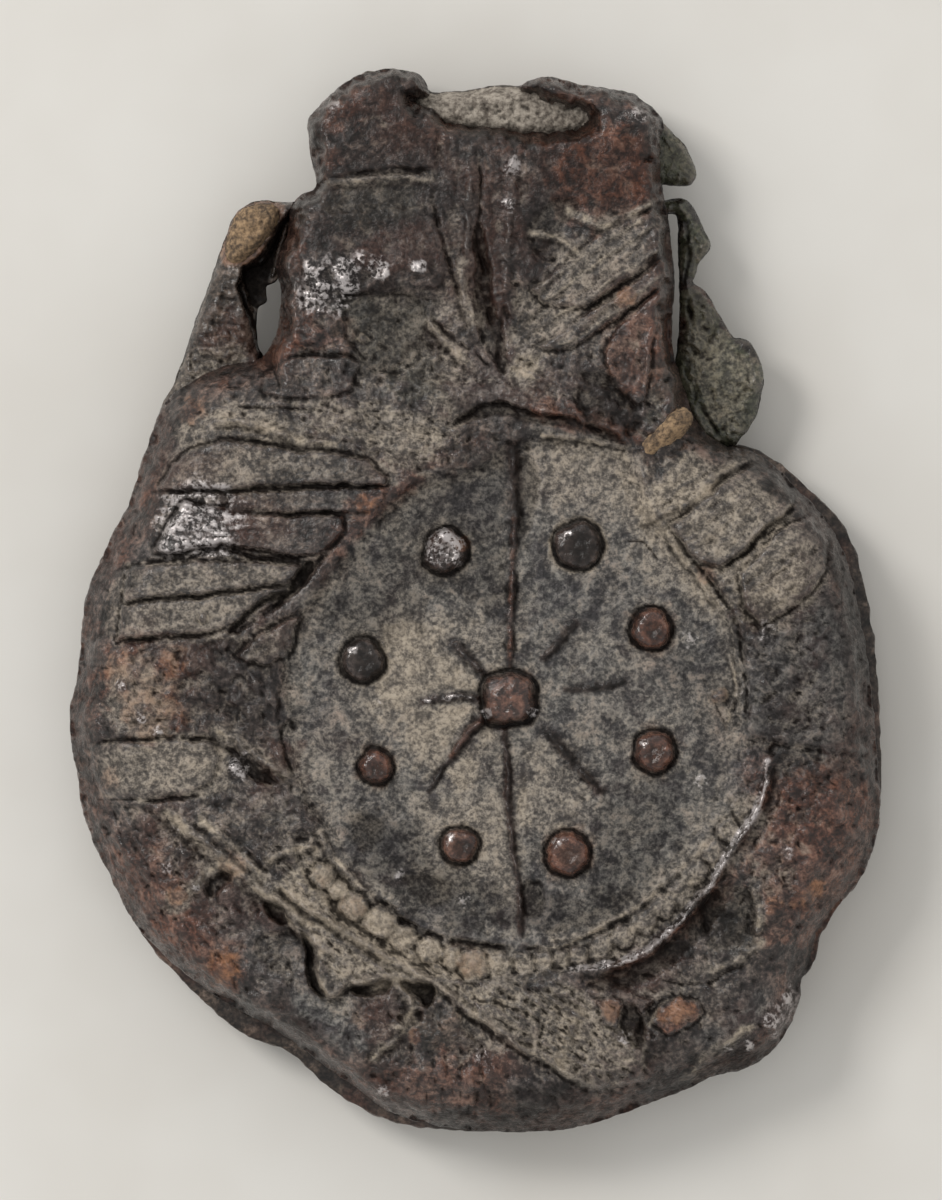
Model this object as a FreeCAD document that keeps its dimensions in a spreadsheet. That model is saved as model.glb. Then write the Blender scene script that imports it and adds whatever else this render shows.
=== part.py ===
import FreeCAD, Part
import math
import os

import Sketcher
from FreeCAD import Placement, Rotation, Vector

# A pilgrim's ampulla: a little cast-lead flask for holy water, as it comes out of the ground.
#
# Two dished halves meet at a flat seam and hold a lens-shaped chamber. A flattened neck runs up
# from the body to a mouth that was pinched shut. A strap handle stood on each side of the neck:
# the left one is whole, with its eye for a cord, and the right one has broken into a stub and a
# flap. The front carries a sunk roundel with an eight-spoked wheel, eight pellets, a boss and a
# beaded border, with ray-like bars on the body round it and ribs and slanting bars on the neck.
#
# Frame: millimetres, +Z up. The flask lies on its back with its face up and its mouth towards
# +Y. The origin is on the surface that it lies on, under the middle of its outline.

PARTS_FOLDER = "parts"

# Driving sizes, in millimetres
SIZES = [
    ("flask_height", 50.0, "foot of the body to the top of the pinched mouth"),
    ("flask_width", 38.1, "across the body"),
    ("back_depth", 3.2, "resting surface up to the seam between the halves"),
    ("front_depth", 5.0, "seam up to the crown of the front"),
    ("front_rim", 1.4, "thickness of the front half at its edge"),
    ("back_rim", 1.3, "thickness of the back half at its edge"),
    ("edge_run", 2.1, "rounded edge in front, in from the outline where that comes nearest"),
    ("foot_setback", 4.8, "flat that the flask lies on, in from the outline there"),
    ("wall", 1.1, "cast wall"),
    ("seam_width", 2.0, "solid seam between the chamber and the body's least reach"),
    ("chamber_round", 2.0, "slope of the chamber between its widest place and its roof"),
    ("neck_round", 1.5, "rounding of the neck's long edges"),
    ("neck_foot_front", 4.5, "seam up to the neck's face, at the body"),
    ("neck_foot_back", 2.3, "seam down to the neck's back, at the body"),
    ("neck_mouth_front", 3.0, "seam up to the neck's face, at the mouth"),
    ("neck_mouth_back", 1.8, "seam down to the neck's back, at the mouth"),
    ("bore_width", 12.6, "bore of the flattened neck, at the body"),
    ("mouth_width", 8.0, "bore that is left between the pinched corners of the mouth"),
    ("relief_height", 0.4, "height of the bars and ribs on body and neck"),
    ("relief_root", 0.3, "depth to which ornament is rooted in the field under it"),
    ("layer_step", 0.34, "upper layer of the face down to the layer that shows round the foot"),
    ("roundel_border", 0.1, "plain strip between the roundel and the rounded edge"),
    ("field_sink", 0.75, "crown down to the flat field of the roundel"),
    ("outer_ridge_width", 0.6, "raised ridge round the roundel"),
    ("outer_ridge_height", 0.5, "its height over the field"),
    ("inner_ridge_width", 0.4, "fine ridge inside the beads"),
    ("inner_ridge_height", 0.25, "its height over the field"),
    ("bead_lane", 1.15, "lane of beads between the two ridges"),
    ("bead_length", 0.95, "one bead, across its lane"),
    ("bead_width", 0.75, "one bead, along its lane"),
    ("bead_height", 0.35, "one bead over the field"),
    ("pellet_clearance", 2.2, "between a pellet and the inner ridge"),
    ("pellet_radius", 1.1, "one pellet, at the field"),
    ("pellet_height", 0.75, "one pellet over the field"),
    ("boss_radius", 1.45, "boss at the hub of the wheel, at the field"),
    ("boss_height", 1.2, "boss over the field"),
    ("spoke_width", 0.4, "one spoke of the wheel"),
    ("spoke_height", 0.3, "one spoke over the field"),
    ("handle_thickness", 2.3, "strap of the left handle, front to back"),
    ("flange_thickness", 1.1, "sheet that is left of the right handle"),
    ("mouth_soil_rise", 0.5, "soil over the seam where the front lip stops short"),
    ("handle_soil_rise", 0.75, "crust over the head of the left handle"),
    ("shoulder_soil_rise", 0.75, "ochre lump over the neck's face, at the right shoulder"),
    ("overrun", 1.0, "how far a cutting form passes what it cuts"),
]

# Beads are set out as if all round the roundel, and only these are left of them
BEAD_COUNT = 62
BEADS_LEFT = range(39, 59)

# The photograph's pixels for the flask's outline box: its middle, and its width and height
PHOTO_MIDDLE_PX = (476, 600.5)
PHOTO_SIZE_PX = (812, 1065)
BODY_CENTRE_PX = (483, 738)
ROUNDEL_CENTRE_PX = (508, 697)

# The body's least reach from its centre, as shares of the flask's height and width
LEAST_REACH_HEIGHT_SHARE = 0.347
LEAST_REACH_WIDTH_SHARE = 0.455

# Levels of the body: how far each ring lies in from the outline, as a share of its edge's run,
# and how far it is from the rim to the crown, or from the rim to the back; and the cap of a
# knob, as shares of its radius and height
FRONT_EDGE_SHARES = [(-0.25, 0.0), (0.2, 0.3), (0.55, 0.62), (1.0, 0.87), (4.6, 1.0)]
BACK_EDGE_SHARES = [(1.0, 1.0), (0.42, 0.74), (-0.11, 0.0)]
KNOB_SHARES = [(1.0, 0.0), (0.87, 0.5), (0.5, 0.87)]

# A ridge's sloping side as a share of its width, the bore's bevel as a share of the wall, and
# the level of the crust on the left handle as a share of the strap's thickness
RIDGE_SLOPE_SHARE = 0.25
BORE_BEVEL_SHARE = 0.5
HANDLE_CRUST_LEVEL_SHARE = 0.45

# Outlines in the photograph's pixels. A stretch is (end,) for a straight run, or (middle, end)
# for an arc through both. The halves share their left flank, the neck's sides and the foot.
FOOT_PX = (500, 1133)
LOWER_LEFT_BACK_PX = [
    ((440, 1131), (385, 1120)),
    ((335, 1094), (300, 1062)),
    ((281, 1048), (255, 1041)),
    ((213, 1011), (175, 974)),
]
LOWER_LEFT_FRONT_PX = [
    ((440, 1129), (380, 1110)),
    ((320, 1066), (270, 1026)),
    ((218, 1000), (175, 964)),
]
LEFT_FLANK_PX = [
    ((137, 930), (110, 878)),
    ((88, 826), (77, 775)),
    ((69, 738), (70, 702)),
    ((78, 655),),
    ((83, 606), (100, 560)),
    ((125, 508), (137, 475)),
    ((160, 410),),
    ((187, 382), (222, 366)),
    ((262, 357),),
]
NECK_LEFT_PX = [
    ((276, 330), (281, 292)),
    ((274, 264),),
    ((288, 240), (288, 214)),
    ((300, 195), (318, 184)),
    ((309, 152), (308, 120)),
    ((326, 97), (350, 79)),
    ((390, 67), (421, 74)),
    ((431, 93),),
]
MOUTH_BACK_PX = [
    ((466, 90),),
    ((492, 84), (516, 86)),
    ((546, 76), (584, 84)),
    ((632, 92), (664, 122)),
]
MOUTH_FRONT_PX = [
    ((436, 108), (455, 120)),
    ((512, 131), (572, 127)),
    ((592, 112), (600, 86)),
    ((640, 96), (664, 122)),
]
NECK_RIGHT_PX = [
    ((659, 158), (664, 196)),
    ((674, 262), (672, 330)),
    ((678, 385), (694, 425)),
    ((724, 444),),
]
RIGHT_FLANK_BACK_PX = [
    ((790, 466), (842, 522)),
    ((868, 588), (877, 655)),
    ((883, 740), (882, 805)),
]
RIGHT_FLANK_FRONT_PX = [
    ((778, 470), (828, 524)),
    ((856, 588), (867, 655)),
    ((877, 740), (878, 805)),
]
LOWER_RIGHT_PX = [
    ((868, 866), (840, 905)),
    ((822, 935),),
    ((814, 962), (802, 979)),
    ((798, 1008),),
    ((776, 1050), (735, 1072)),
    ((700, 1084),),
    ((604, 1121), FOOT_PX),
]

# The whole body without its neck, as the corners of a ring
BODY_RING_PX = [
    (500, 1133), (440, 1130), (385, 1119), (338, 1093), (300, 1064), (255, 1041), (213, 1011),
    (175, 974), (138, 930), (110, 878), (89, 826), (76, 775), (69, 722), (77, 655), (84, 606),
    (101, 556), (124, 508), (140, 465), (160, 410), (187, 382), (222, 366), (262, 356),
    (370, 350), (480, 355), (590, 378), (694, 425), (724, 444), (790, 466), (842, 522),
    (868, 588), (877, 655), (883, 740), (882, 805), (868, 866), (840, 905), (822, 935),
    (803, 979), (797, 1010), (776, 1048), (735, 1072), (700, 1085), (604, 1121),
]

# Neck: the columns of its sides, and the rows where its form starts and ends
NECK_COLUMNS_PX = (279, 677)
NECK_ROWS_PX = (470, 40)
BORE_MIDDLE_PX = 510
BORE_ROWS_PX = (452, 40)

# Bars and ribs in relief, as polygons in the photograph's pixels
BARS_PX = [
    [(166, 470), (182, 445), (240, 437), (305, 447), (372, 458), (390, 480), (240, 487), (160, 487)],
    [(176, 500), (250, 512), (340, 516), (345, 535), (318, 556), (230, 553), (150, 554)],
    [(128, 566), (300, 562), (300, 582), (262, 600), (218, 632), (112, 632)],
    [(90, 744), (215, 741), (214, 790), (92, 796)],
    [(668, 522), (745, 462), (782, 474), (796, 500), (728, 568), (700, 572)],
    [(736, 584), (800, 514), (824, 540), (838, 590), (760, 622)],
    [(461, 140), (474, 140), (474, 300), (490, 330), (486, 362), (461, 318)],
    [(502, 148), (516, 148), (514, 300), (496, 336), (500, 250)],
    [(322, 186), (430, 182), (434, 290), (345, 292), (304, 282), (300, 215)],
    [(300, 306), (344, 300), (432, 302), (440, 348), (356, 352), (292, 350)],
    [(524, 262), (600, 232), (656, 212), (658, 240), (586, 302), (540, 300)],
    [(586, 312), (658, 254), (658, 286), (604, 334), (560, 350)],
    [(612, 348), (654, 306), (646, 372), (640, 400), (604, 372)],
]

# Wheel: each spoke's turn from the flask's right in degrees, with the shares of the roundel's
# radius between which it shows
SPOKE_SHARES = [
    (0, 0.09, 0.62),
    (45, 0.09, 0.34),
    (90, 0.09, 0.82),
    (135, 0.09, 0.36),
    (180, 0.09, 0.30),
    (225, 0.09, 0.42),
    (270, 0.09, 0.82),
    (315, 0.09, 0.46),
]

# Pellets: each one's turn from the flask's right in degrees, and its reach from the roundel's
# centre as a share of the pellet ring's radius
PELLET_SHARES = [
    (25.8, 1.0),
    (65.0, 1.06),
    (113.0, 1.0),
    (165.3, 0.95),
    (207.6, 0.94),
    (253.1, 0.98),
    (291.3, 1.04),
    (339.4, 0.985),
]

# Where the roundel's sunk field and its beaded border are left, as polygons in the photograph's
# pixels: elsewhere the bars and the upper layer run over them
FIELD_LEFT_PX = [
    (283, 661), (300, 616), (349, 554), (383, 513), (418, 485), (473, 472), (500, 450), (542, 436),
    (600, 440), (624, 447), (636, 480), (652, 520), (690, 563), (717, 590), (740, 641), (748, 700),
    (800, 730), (800, 1000), (230, 1000), (230, 890), (294, 800), (286, 740),
]
BORDER_LEFT_PX = [(508, 697), (800, 740), (800, 1000), (230, 1000), (230, 895)]

# Where the lower layer of the face shows, from the left flank round the foot to the right flank
LOWER_LAYER_PX = [
    (50, 802), (120, 803), (172, 814), (254, 884), (318, 945), (325, 994), (392, 978), (453, 1000),
    (516, 1046), (590, 1090), (645, 1080), (640, 1010), (606, 986), (655, 960), (704, 908),
    (748, 850), (778, 790), (780, 745), (900, 760), (900, 1150), (50, 1150),
]

# Left handle: stations down the photograph, each with the pixel columns of its outer and inner
# edge, and its thickness there as a share of the strap's
LEFT_HANDLE_SHARES = [
    (203, 246, 304, 0.60),
    (222, 230, 304, 0.90),
    (250, 221, 296, 1.00),
    (272, 214, 288, 1.00),
    (286, 209, 264, 1.00),
    (310, 200, 257, 0.95),
    (335, 191, 257, 0.92),
    (352, 185, 262, 0.88),
    (372, 178, 275, 0.84),
    (400, 168, 282, 0.80),
]
STRAP_BEVEL_SHARE = 0.3
HANDLE_STEP_PX = [
    (310, 218), (283, 222), (262, 262), (245, 268), (238, 290), (255, 330), (258, 352),
    (310, 352),
]
UPPER_STUB_PX = [
    (640, 112), (666, 122), (680, 140), (693, 157), (697, 175), (684, 184), (640, 183),
]
LOWER_FLAP_PX = [
    (650, 199), (686, 198), (699, 216), (710, 238), (712, 248), (698, 262), (692, 280),
    (704, 289), (733, 336), (752, 343), (763, 366), (763, 392), (756, 420), (742, 438),
    (738, 452), (690, 452), (650, 420),
]
FLAP_CRACK_PX = [(650, 214), (679, 214), (680, 334), (650, 336)]

# Soil: each crust's middle, its reach along and across itself, and its turn in degrees
HANDLE_SOIL_PX = ((254, 232), (32, 17), 58)
SHOULDER_SOIL_PX = ((668, 434), (33, 17), 40)
CRUST_SHARES = [(-1.0, 0.6), (0.0, 1.0), (0.7, 0.75), (1.0, 0.4)]
CRUST_CORNER_SHARES = [1.0, 0.9, 1.06, 0.94, 1.03, 0.88, 1.0, 0.92]
MOUTH_SOIL_PX = [
    (426, 90), (466, 92), (492, 87), (516, 88), (546, 79), (584, 87), (608, 88), (608, 140),
    (412, 140), (412, 100),
]
MOUTH_PLUG_PX = [(400, 124), (620, 124), (620, 190), (400, 190)]

ACROSS = Vector(1, 0, 0)
ALONG = Vector(0, 1, 0)
UP = Vector(0, 0, 1)
QUARTER_TURN_DEG = 90
FULL_TURN_DEG = 360

doc = FreeCAD.newDocument("ampulla")
sheet = doc.addObject("Spreadsheet::Sheet", "Sizes")
for row, (alias, number, note) in enumerate(SIZES, start=1):
    sheet.set(f"A{row}", alias)
    sheet.set(f"B{row}", str(number))
    sheet.set(f"C{row}", note)
    sheet.setAlias(f"B{row}", alias)
doc.recompute()


class Length:
    """A length: its millimetres, and the expression that gives it from the sheet."""

    def __init__(self, value, text):
        self.value = value
        self.text = text

    def __add__(self, other):
        return Length(self.value + other.value, f"({self.text} + {other.text})")

    def __sub__(self, other):
        return Length(self.value - other.value, f"({self.text} - {other.text})")

    def __mul__(self, factor):
        return Length(self.value * factor, f"({self.text} * {factor})")


def size(alias):
    """A driving size, as the sheet has it."""
    return Length(float(getattr(sheet, alias)), f"Sizes.{alias}")


def least(one, other):
    """The smaller of two lengths."""
    return Length(min(one.value, other.value), f"min({one.text}; {other.text})")


def diagonal(one, other):
    """The third side of a right-angled triangle."""
    return Length(math.hypot(one.value, other.value), f"sqrt(({one.text})^2 + ({other.text})^2)")


def columns(count_px):
    """The length of a number of pixel columns."""
    return size("flask_width") * (count_px / PHOTO_SIZE_PX[0])


def rows(count_px):
    """The length of a number of pixel rows."""
    return size("flask_height") * (count_px / PHOTO_SIZE_PX[1])


def spot(point_px, height=0.0):
    """The place of a point of the photograph."""
    x = columns(point_px[0] - PHOTO_MIDDLE_PX[0]).value
    y = rows(PHOTO_MIDDLE_PX[1] - point_px[1]).value
    return Vector(x, y, height)


# Heights and reaches that follow from the driving sizes
BOTTOM = Length(0.0, "0")
SEAM = size("back_depth")
CROWN = SEAM + size("front_depth")
FIELD = CROWN - size("field_sink")
ROOT = FIELD - size("relief_root")
TOP = CROWN + size("overrun")
CENTRE_SHIFT = diagonal(
    columns(ROUNDEL_CENTRE_PX[0] - BODY_CENTRE_PX[0]),
    rows(ROUNDEL_CENTRE_PX[1] - BODY_CENTRE_PX[1]),
)
LEAST_REACH = least(
    size("flask_height") * LEAST_REACH_HEIGHT_SHARE,
    size("flask_width") * LEAST_REACH_WIDTH_SHARE,
)
PLATEAU_RADIUS = LEAST_REACH - size("edge_run")
FOOT_RADIUS = LEAST_REACH - size("foot_setback")
CHAMBER_RADIUS = LEAST_REACH - size("seam_width")
ROUNDEL_RADIUS = PLATEAU_RADIUS - CENTRE_SHIFT - size("roundel_border")
LANE_RADIUS = ROUNDEL_RADIUS - size("outer_ridge_width")
BEAD_RING_RADIUS = LANE_RADIUS - size("bead_lane") * 0.5
INNER_RIDGE_RADIUS = LANE_RADIUS - size("bead_lane")
FIELD_RADIUS = INNER_RIDGE_RADIUS - size("inner_ridge_width")
PELLET_RING_RADIUS = FIELD_RADIUS - size("pellet_clearance") - size("pellet_radius")


def add(kind, name, **properties):
    """Adds an object to the document. A Length is bound to the sheet by its expression."""
    made = doc.addObject(kind, name)
    for key, value in properties.items():
        if isinstance(value, Length):
            made.setExpression(key, value.text)
        else:
            setattr(made, key, value)
    return made


def fused(name, pieces):
    return add("Part::MultiFuse", name, Shapes=pieces, Refine=True)


def shared(name, pieces):
    return add("Part::MultiCommon", name, Shapes=pieces, Refine=True)


def without(name, base, cutters):
    """The base without each of the cutters."""
    for number, cutter in enumerate(cutters):
        base = add("Part::Cut", f"{name}_cut_{number}", Base=base, Tool=cutter)
    return base


def raise_to(made, height):
    """Binds an object's height over the resting surface."""
    made.setExpression("Placement.Base.z", height.text)
    return made


def profile(name, placement, corners):
    """A closed, fully held sketch of straight sides in an upright plane of the flask.

    Each corner is (reach, height), from the sketch's own origin. A reach of None is on its axis.
    """
    sketch = doc.addObject("Sketcher::SketchObject", name)
    sketch.Placement = placement
    places = [Vector(reach.value if reach else 0, height.value, 0) for reach, height in corners]
    for i, place in enumerate(places):
        sketch.addGeometry(Part.LineSegment(places[i - 1], place))
    for i, (reach, height) in enumerate(corners):
        sketch.addConstraint(Sketcher.Constraint("Coincident", i, 2, (i + 1) % len(corners), 1))
        if reach is None:
            sketch.addConstraint(Sketcher.Constraint("PointOnObject", i, 2, -2))
        else:
            hold(sketch, ("DistanceX", -1, 1, i, 2), reach)
        hold(sketch, ("DistanceY", -1, 1, i, 2), height)
    return sketch


def hold(sketch, what, length):
    """Adds a dimension to a sketch and binds it to the sheet."""
    number = sketch.addConstraint(Sketcher.Constraint(*what, length.value))
    sketch.setExpression(f"Constraints[{number}]", length.text)


def turned(name, place, corners):
    """A profile turned once round the upright line through a place on the flask."""
    facing = Placement(place, Rotation(ACROSS, QUARTER_TURN_DEG))
    return add(
        "Part::Revolution",
        name,
        Source=profile(f"{name}_profile", facing, corners),
        Axis=UP,
        Base=place,
        Angle=FULL_TURN_DEG,
        Solid=True,
    )


def outline(name, start_px, stretches):
    """A flat face inside a closed outline of straight runs and arcs."""
    edges, here = [], spot(start_px)
    for stretch in stretches:
        end = spot(stretch[-1])
        if len(stretch) == 1:
            edges.append(Part.LineSegment(here, end).toShape())
        else:
            edges.append(Part.Arc(here, spot(stretch[0]), end).toShape())
        here = end
    made = doc.addObject("Part::Feature", name)
    made.Shape = Part.Face(Part.Wire(edges))
    return made


def prism(name, face, low, high):
    """The upright prism over a flat face, between two heights."""
    made = add(
        "Part::Extrusion",
        name,
        Base=face,
        DirMode="Custom",
        Dir=UP,
        Solid=True,
        LengthFwd=high - low,
    )
    return raise_to(made, low)


def block(name, points_px, low, high):
    """The upright prism over a polygon of the photograph, between two heights."""
    face = outline(f"{name}_outline", points_px[-1], [(point,) for point in points_px])
    return prism(name, face, low, high)


def section(name, row_px, middle_px, width, low, high, bevel):
    """A rectangle with bevelled corners that stands across the flask at a pixel row."""
    half = width * 0.5
    reaches = [half.value, half.value - bevel.value]
    heights = [low.value, low.value + bevel.value, high.value - bevel.value, high.value]
    order = [(1, 0), (0, 1), (0, 2), (1, 3)]
    right = [(reaches[near], heights[level]) for near, level in order]
    corners = right + [(-reach, height) for reach, height in reversed(right)]
    middle = spot((middle_px, row_px))
    made = doc.addObject("Part::Feature", name)
    made.Shape = Part.makePolygon(
        [middle + Vector(x, 0, z) for x, z in corners + corners[:1]]
    )
    return made


def loft(name, sections):
    return add("Part::Loft", name, Sections=sections, Solid=True, Ruled=True)


# Body: a lens through rings of the outline's own shape, with a flat back and rounded edges
def body_ring(name, inset, height):
    """The body's outline, drawn in from its rim by a length at its nearest, at a height."""
    scale = 1 - inset.value / LEAST_REACH.value
    centre = spot(BODY_CENTRE_PX)
    points = [centre + (spot(point) - centre) * scale for point in BODY_RING_PX]
    made = doc.addObject("Part::Feature", name)
    made.Shape = Part.makePolygon(points + points[:1])
    made.Placement = Placement(Vector(0, 0, height.value), Rotation())
    return made


def body_form(name):
    back_rim = SEAM - size("back_rim")
    front_rim = SEAM + size("front_rim")
    levels = []
    for inset_share, fall_share in BACK_EDGE_SHARES:
        levels.append((size("foot_setback") * inset_share, back_rim - back_rim * fall_share))
    for inset_share, rise_share in FRONT_EDGE_SHARES:
        height = front_rim + (CROWN - front_rim) * rise_share
        levels.append((size("edge_run") * inset_share, height))
    rings = [
        body_ring(f"{name}_ring_{number}", inset, height)
        for number, (inset, height) in enumerate(levels)
    ]
    return loft(name, rings)


# Neck: a flat tube, thinner at the mouth than at its foot, with rounded long edges
def neck_form(name):
    left, right = NECK_COLUMNS_PX
    foot, mouth = NECK_ROWS_PX
    length = rows(foot - mouth)
    corners = [
        (None, SEAM - size("neck_foot_back")),
        (length, SEAM - size("neck_mouth_back")),
        (length, SEAM + size("neck_mouth_front")),
        (None, SEAM + size("neck_foot_front")),
    ]
    side = Placement(spot((left, foot)), Rotation(ALONG, UP, ACROSS, "XYZ"))
    slab = add(
        "Part::Extrusion",
        f"{name}_slab",
        Base=profile(f"{name}_profile", side, corners),
        DirMode="Custom",
        Dir=ACROSS,
        Solid=True,
        LengthFwd=columns(right - left),
    )
    doc.recompute()
    rounding = size("neck_round").value
    runs = [e.tangentAt(e.FirstParameter) for e in slab.Shape.Edges]
    long_edges = [i for i, run in enumerate(runs, start=1) if abs(run.y) > abs(run.x) + abs(run.z)]
    return add(
        "Part::Fillet",
        name,
        Base=slab,
        Edges=[(number, rounding, rounding) for number in long_edges],
    )


body = body_form("body")
neck = neck_form("neck")
hull = fused("hull", [body, neck])
raised_body = raise_to(body_form("raised_body"), size("relief_height"))
raised_neck = raise_to(neck_form("raised_neck"), size("relief_height"))
raised_hull = fused("raised_hull", [raised_body, raised_neck])

# Hollow: the chamber between the halves, and the bore of the neck that opens into it
roof = FIELD - size("wall")
chamber = turned(
    "chamber",
    spot(BODY_CENTRE_PX),
    [
        (None, size("wall")),
        (FOOT_RADIUS, size("wall")),
        (CHAMBER_RADIUS, SEAM),
        (CHAMBER_RADIUS - size("chamber_round"), roof),
        (None, roof),
    ],
)
bore = loft(
    "bore",
    [
        section(
            "bore_foot",
            BORE_ROWS_PX[0],
            BORE_MIDDLE_PX,
            size("bore_width"),
            SEAM - size("neck_foot_back") + size("wall"),
            SEAM + size("neck_foot_front") - size("wall"),
            size("wall") * BORE_BEVEL_SHARE,
        ),
        section(
            "bore_mouth",
            BORE_ROWS_PX[1],
            BORE_MIDDLE_PX,
            size("mouth_width"),
            SEAM - size("neck_mouth_back") + size("wall"),
            SEAM + size("neck_mouth_front") - size("wall"),
            size("wall") * BORE_BEVEL_SHARE,
        ),
    ],
)

hollow = fused("hollow", [chamber, bore])

# Roundel: a sunk field with two ridges, beads between them, pellets, spokes and a boss
disc = add(
    "Part::Cylinder",
    "roundel_disc",
    Radius=ROUNDEL_RADIUS,
    Height=TOP - FIELD,
    Placement=Placement(spot(ROUNDEL_CENTRE_PX), Rotation()),
)
raise_to(disc, FIELD)
recess = shared("roundel_recess", [disc, block("field_left", FIELD_LEFT_PX, SEAM, TOP)])


def ridge(name, outer, width, height):
    """A ring with sloping sides that stands on the roundel's field."""
    slope = width * RIDGE_SLOPE_SHARE
    corners = [
        (outer - width, ROOT),
        (outer, ROOT),
        (outer, FIELD),
        (outer - slope, FIELD + height),
        (outer - width + slope, FIELD + height),
        (outer - width, FIELD),
    ]
    return turned(name, spot(ROUNDEL_CENTRE_PX), corners)


def on_ring(ring, turn_deg):
    """A place on a circle round the roundel's centre."""
    turn = math.radians(turn_deg)
    return spot(ROUNDEL_CENTRE_PX) + Vector(math.cos(turn), math.sin(turn), 0) * ring.value


def spar(name, turn_deg, start, length, width, height):
    """A bar that runs out from the roundel's centre, rooted in its field."""
    rotation = Rotation(UP, turn_deg)
    corner = rotation.multVec(Vector(start.value, -width.value / 2, 0))
    made = add(
        "Part::Box",
        name,
        Length=length,
        Width=width,
        Height=height + size("relief_root"),
        Placement=Placement(spot(ROUNDEL_CENTRE_PX) + corner, rotation),
    )
    return raise_to(made, ROOT)


def knob(name, place, radius, height):
    """A worn round knob, rooted in the roundel's field."""
    corners = [(None, ROOT), (radius, ROOT)]
    corners += [(radius * out, FIELD + height * up) for out, up in KNOB_SHARES]
    corners += [(None, FIELD + height)]
    return turned(name, place, corners)


border_left = block("border_left", BORDER_LEFT_PX, SEAM, TOP)
outer_ridge = ridge(
    "outer_ridge", ROUNDEL_RADIUS, size("outer_ridge_width"), size("outer_ridge_height")
)
inner_ridge = ridge(
    "inner_ridge", INNER_RIDGE_RADIUS, size("inner_ridge_width"), size("inner_ridge_height")
)
ornament = [
    shared("outer_ridge_left", [outer_ridge, border_left]),
    shared("inner_ridge_left", [inner_ridge, border_left]),
    knob("boss", spot(ROUNDEL_CENTRE_PX), size("boss_radius"), size("boss_height")),
]
for number, (turn_deg, reach_share) in enumerate(PELLET_SHARES):
    place = on_ring(PELLET_RING_RADIUS * reach_share, turn_deg)
    ornament.append(knob(f"pellet_{number}", place, size("pellet_radius"), size("pellet_height")))
for number in BEADS_LEFT:
    ornament.append(
        spar(
            f"bead_{number}",
            number * FULL_TURN_DEG / BEAD_COUNT,
            BEAD_RING_RADIUS - size("bead_length") * 0.5,
            size("bead_length"),
            size("bead_width"),
            size("bead_height"),
        )
    )
for turn_deg, start_share, end_share in SPOKE_SHARES:
    ornament.append(
        spar(
            f"spoke_{turn_deg}",
            turn_deg,
            ROUNDEL_RADIUS * start_share,
            ROUNDEL_RADIUS * (end_share - start_share),
            size("spoke_width"),
            size("spoke_height"),
        )
    )

# Front half: body and neck above the seam, with bars and roundel, and the hollow taken out
front_outline = outline(
    "front_outline",
    FOOT_PX,
    LOWER_LEFT_FRONT_PX
    + LEFT_FLANK_PX
    + NECK_LEFT_PX
    + MOUTH_FRONT_PX
    + NECK_RIGHT_PX
    + RIGHT_FLANK_FRONT_PX
    + LOWER_RIGHT_PX,
)
front_reach = prism("front_reach", front_outline, SEAM, TOP)
bars = fused("bars", [block(f"bar_{n}", points, SEAM, TOP) for n, points in enumerate(BARS_PX)])
layer_reach = block("layer_reach", LOWER_LAYER_PX, SEAM, TOP)
lowered_body = raise_to(body_form("lowered_body"), BOTTOM - size("layer_step"))
front_upper = without("front_upper", shared("front_whole", [front_reach, hull]), [layer_reach])
front_lower = shared("front_lower", [front_reach, lowered_body, layer_reach])
front_blank = fused("front_blank", [front_upper, front_lower])
relief = shared("relief", [front_reach, raised_hull, bars])
front_cast = fused("front_cast", [front_blank, relief])
front_shell = without("front_shell", front_cast, [recess, hollow])
front_wall = fused("front_wall", [front_shell] + ornament)

# Back half: body and neck under the seam
back_outline = outline(
    "back_outline",
    FOOT_PX,
    LOWER_LEFT_BACK_PX
    + LEFT_FLANK_PX
    + NECK_LEFT_PX
    + MOUTH_BACK_PX
    + NECK_RIGHT_PX
    + RIGHT_FLANK_BACK_PX
    + LOWER_RIGHT_PX,
)
back_reach = prism("back_reach", back_outline, BOTTOM - size("overrun"), SEAM)
back_blank = shared("back_blank", [back_reach, hull])
back_wall = without("back_wall", back_blank, [hollow])

# Left handle: a strap beside the neck, with a step where its front layer stops short of its back
strap_sections = []
for row_px, outer_px, inner_px, thickness_share in LEFT_HANDLE_SHARES:
    thickness = size("handle_thickness") * thickness_share
    strap_sections.append(
        section(
            f"strap_{row_px}",
            row_px,
            (outer_px + inner_px) / 2,
            columns(inner_px - outer_px),
            SEAM - thickness * 0.5,
            SEAM + thickness * 0.5,
            thickness * STRAP_BEVEL_SHARE,
        )
    )
strap = loft("strap", strap_sections)
handle_step = block("handle_step", HANDLE_STEP_PX, SEAM, TOP)
left_handle = without("left_handle", strap, [handle_step, front_blank, back_blank])

# Right handle: what is left of it, in one thin layer behind the seam
flange_back = SEAM - size("flange_thickness")
stub = block("stub", UPPER_STUB_PX, flange_back, SEAM)
right_handle_stub = without("right_handle_stub", stub, [back_blank])
flap = block("flap", LOWER_FLAP_PX, flange_back, SEAM)
flap_crack = block("flap_crack", FLAP_CRACK_PX, BOTTOM, TOP)
right_handle_flap = without("right_handle_flap", flap, [back_blank, flap_crack])


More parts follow.
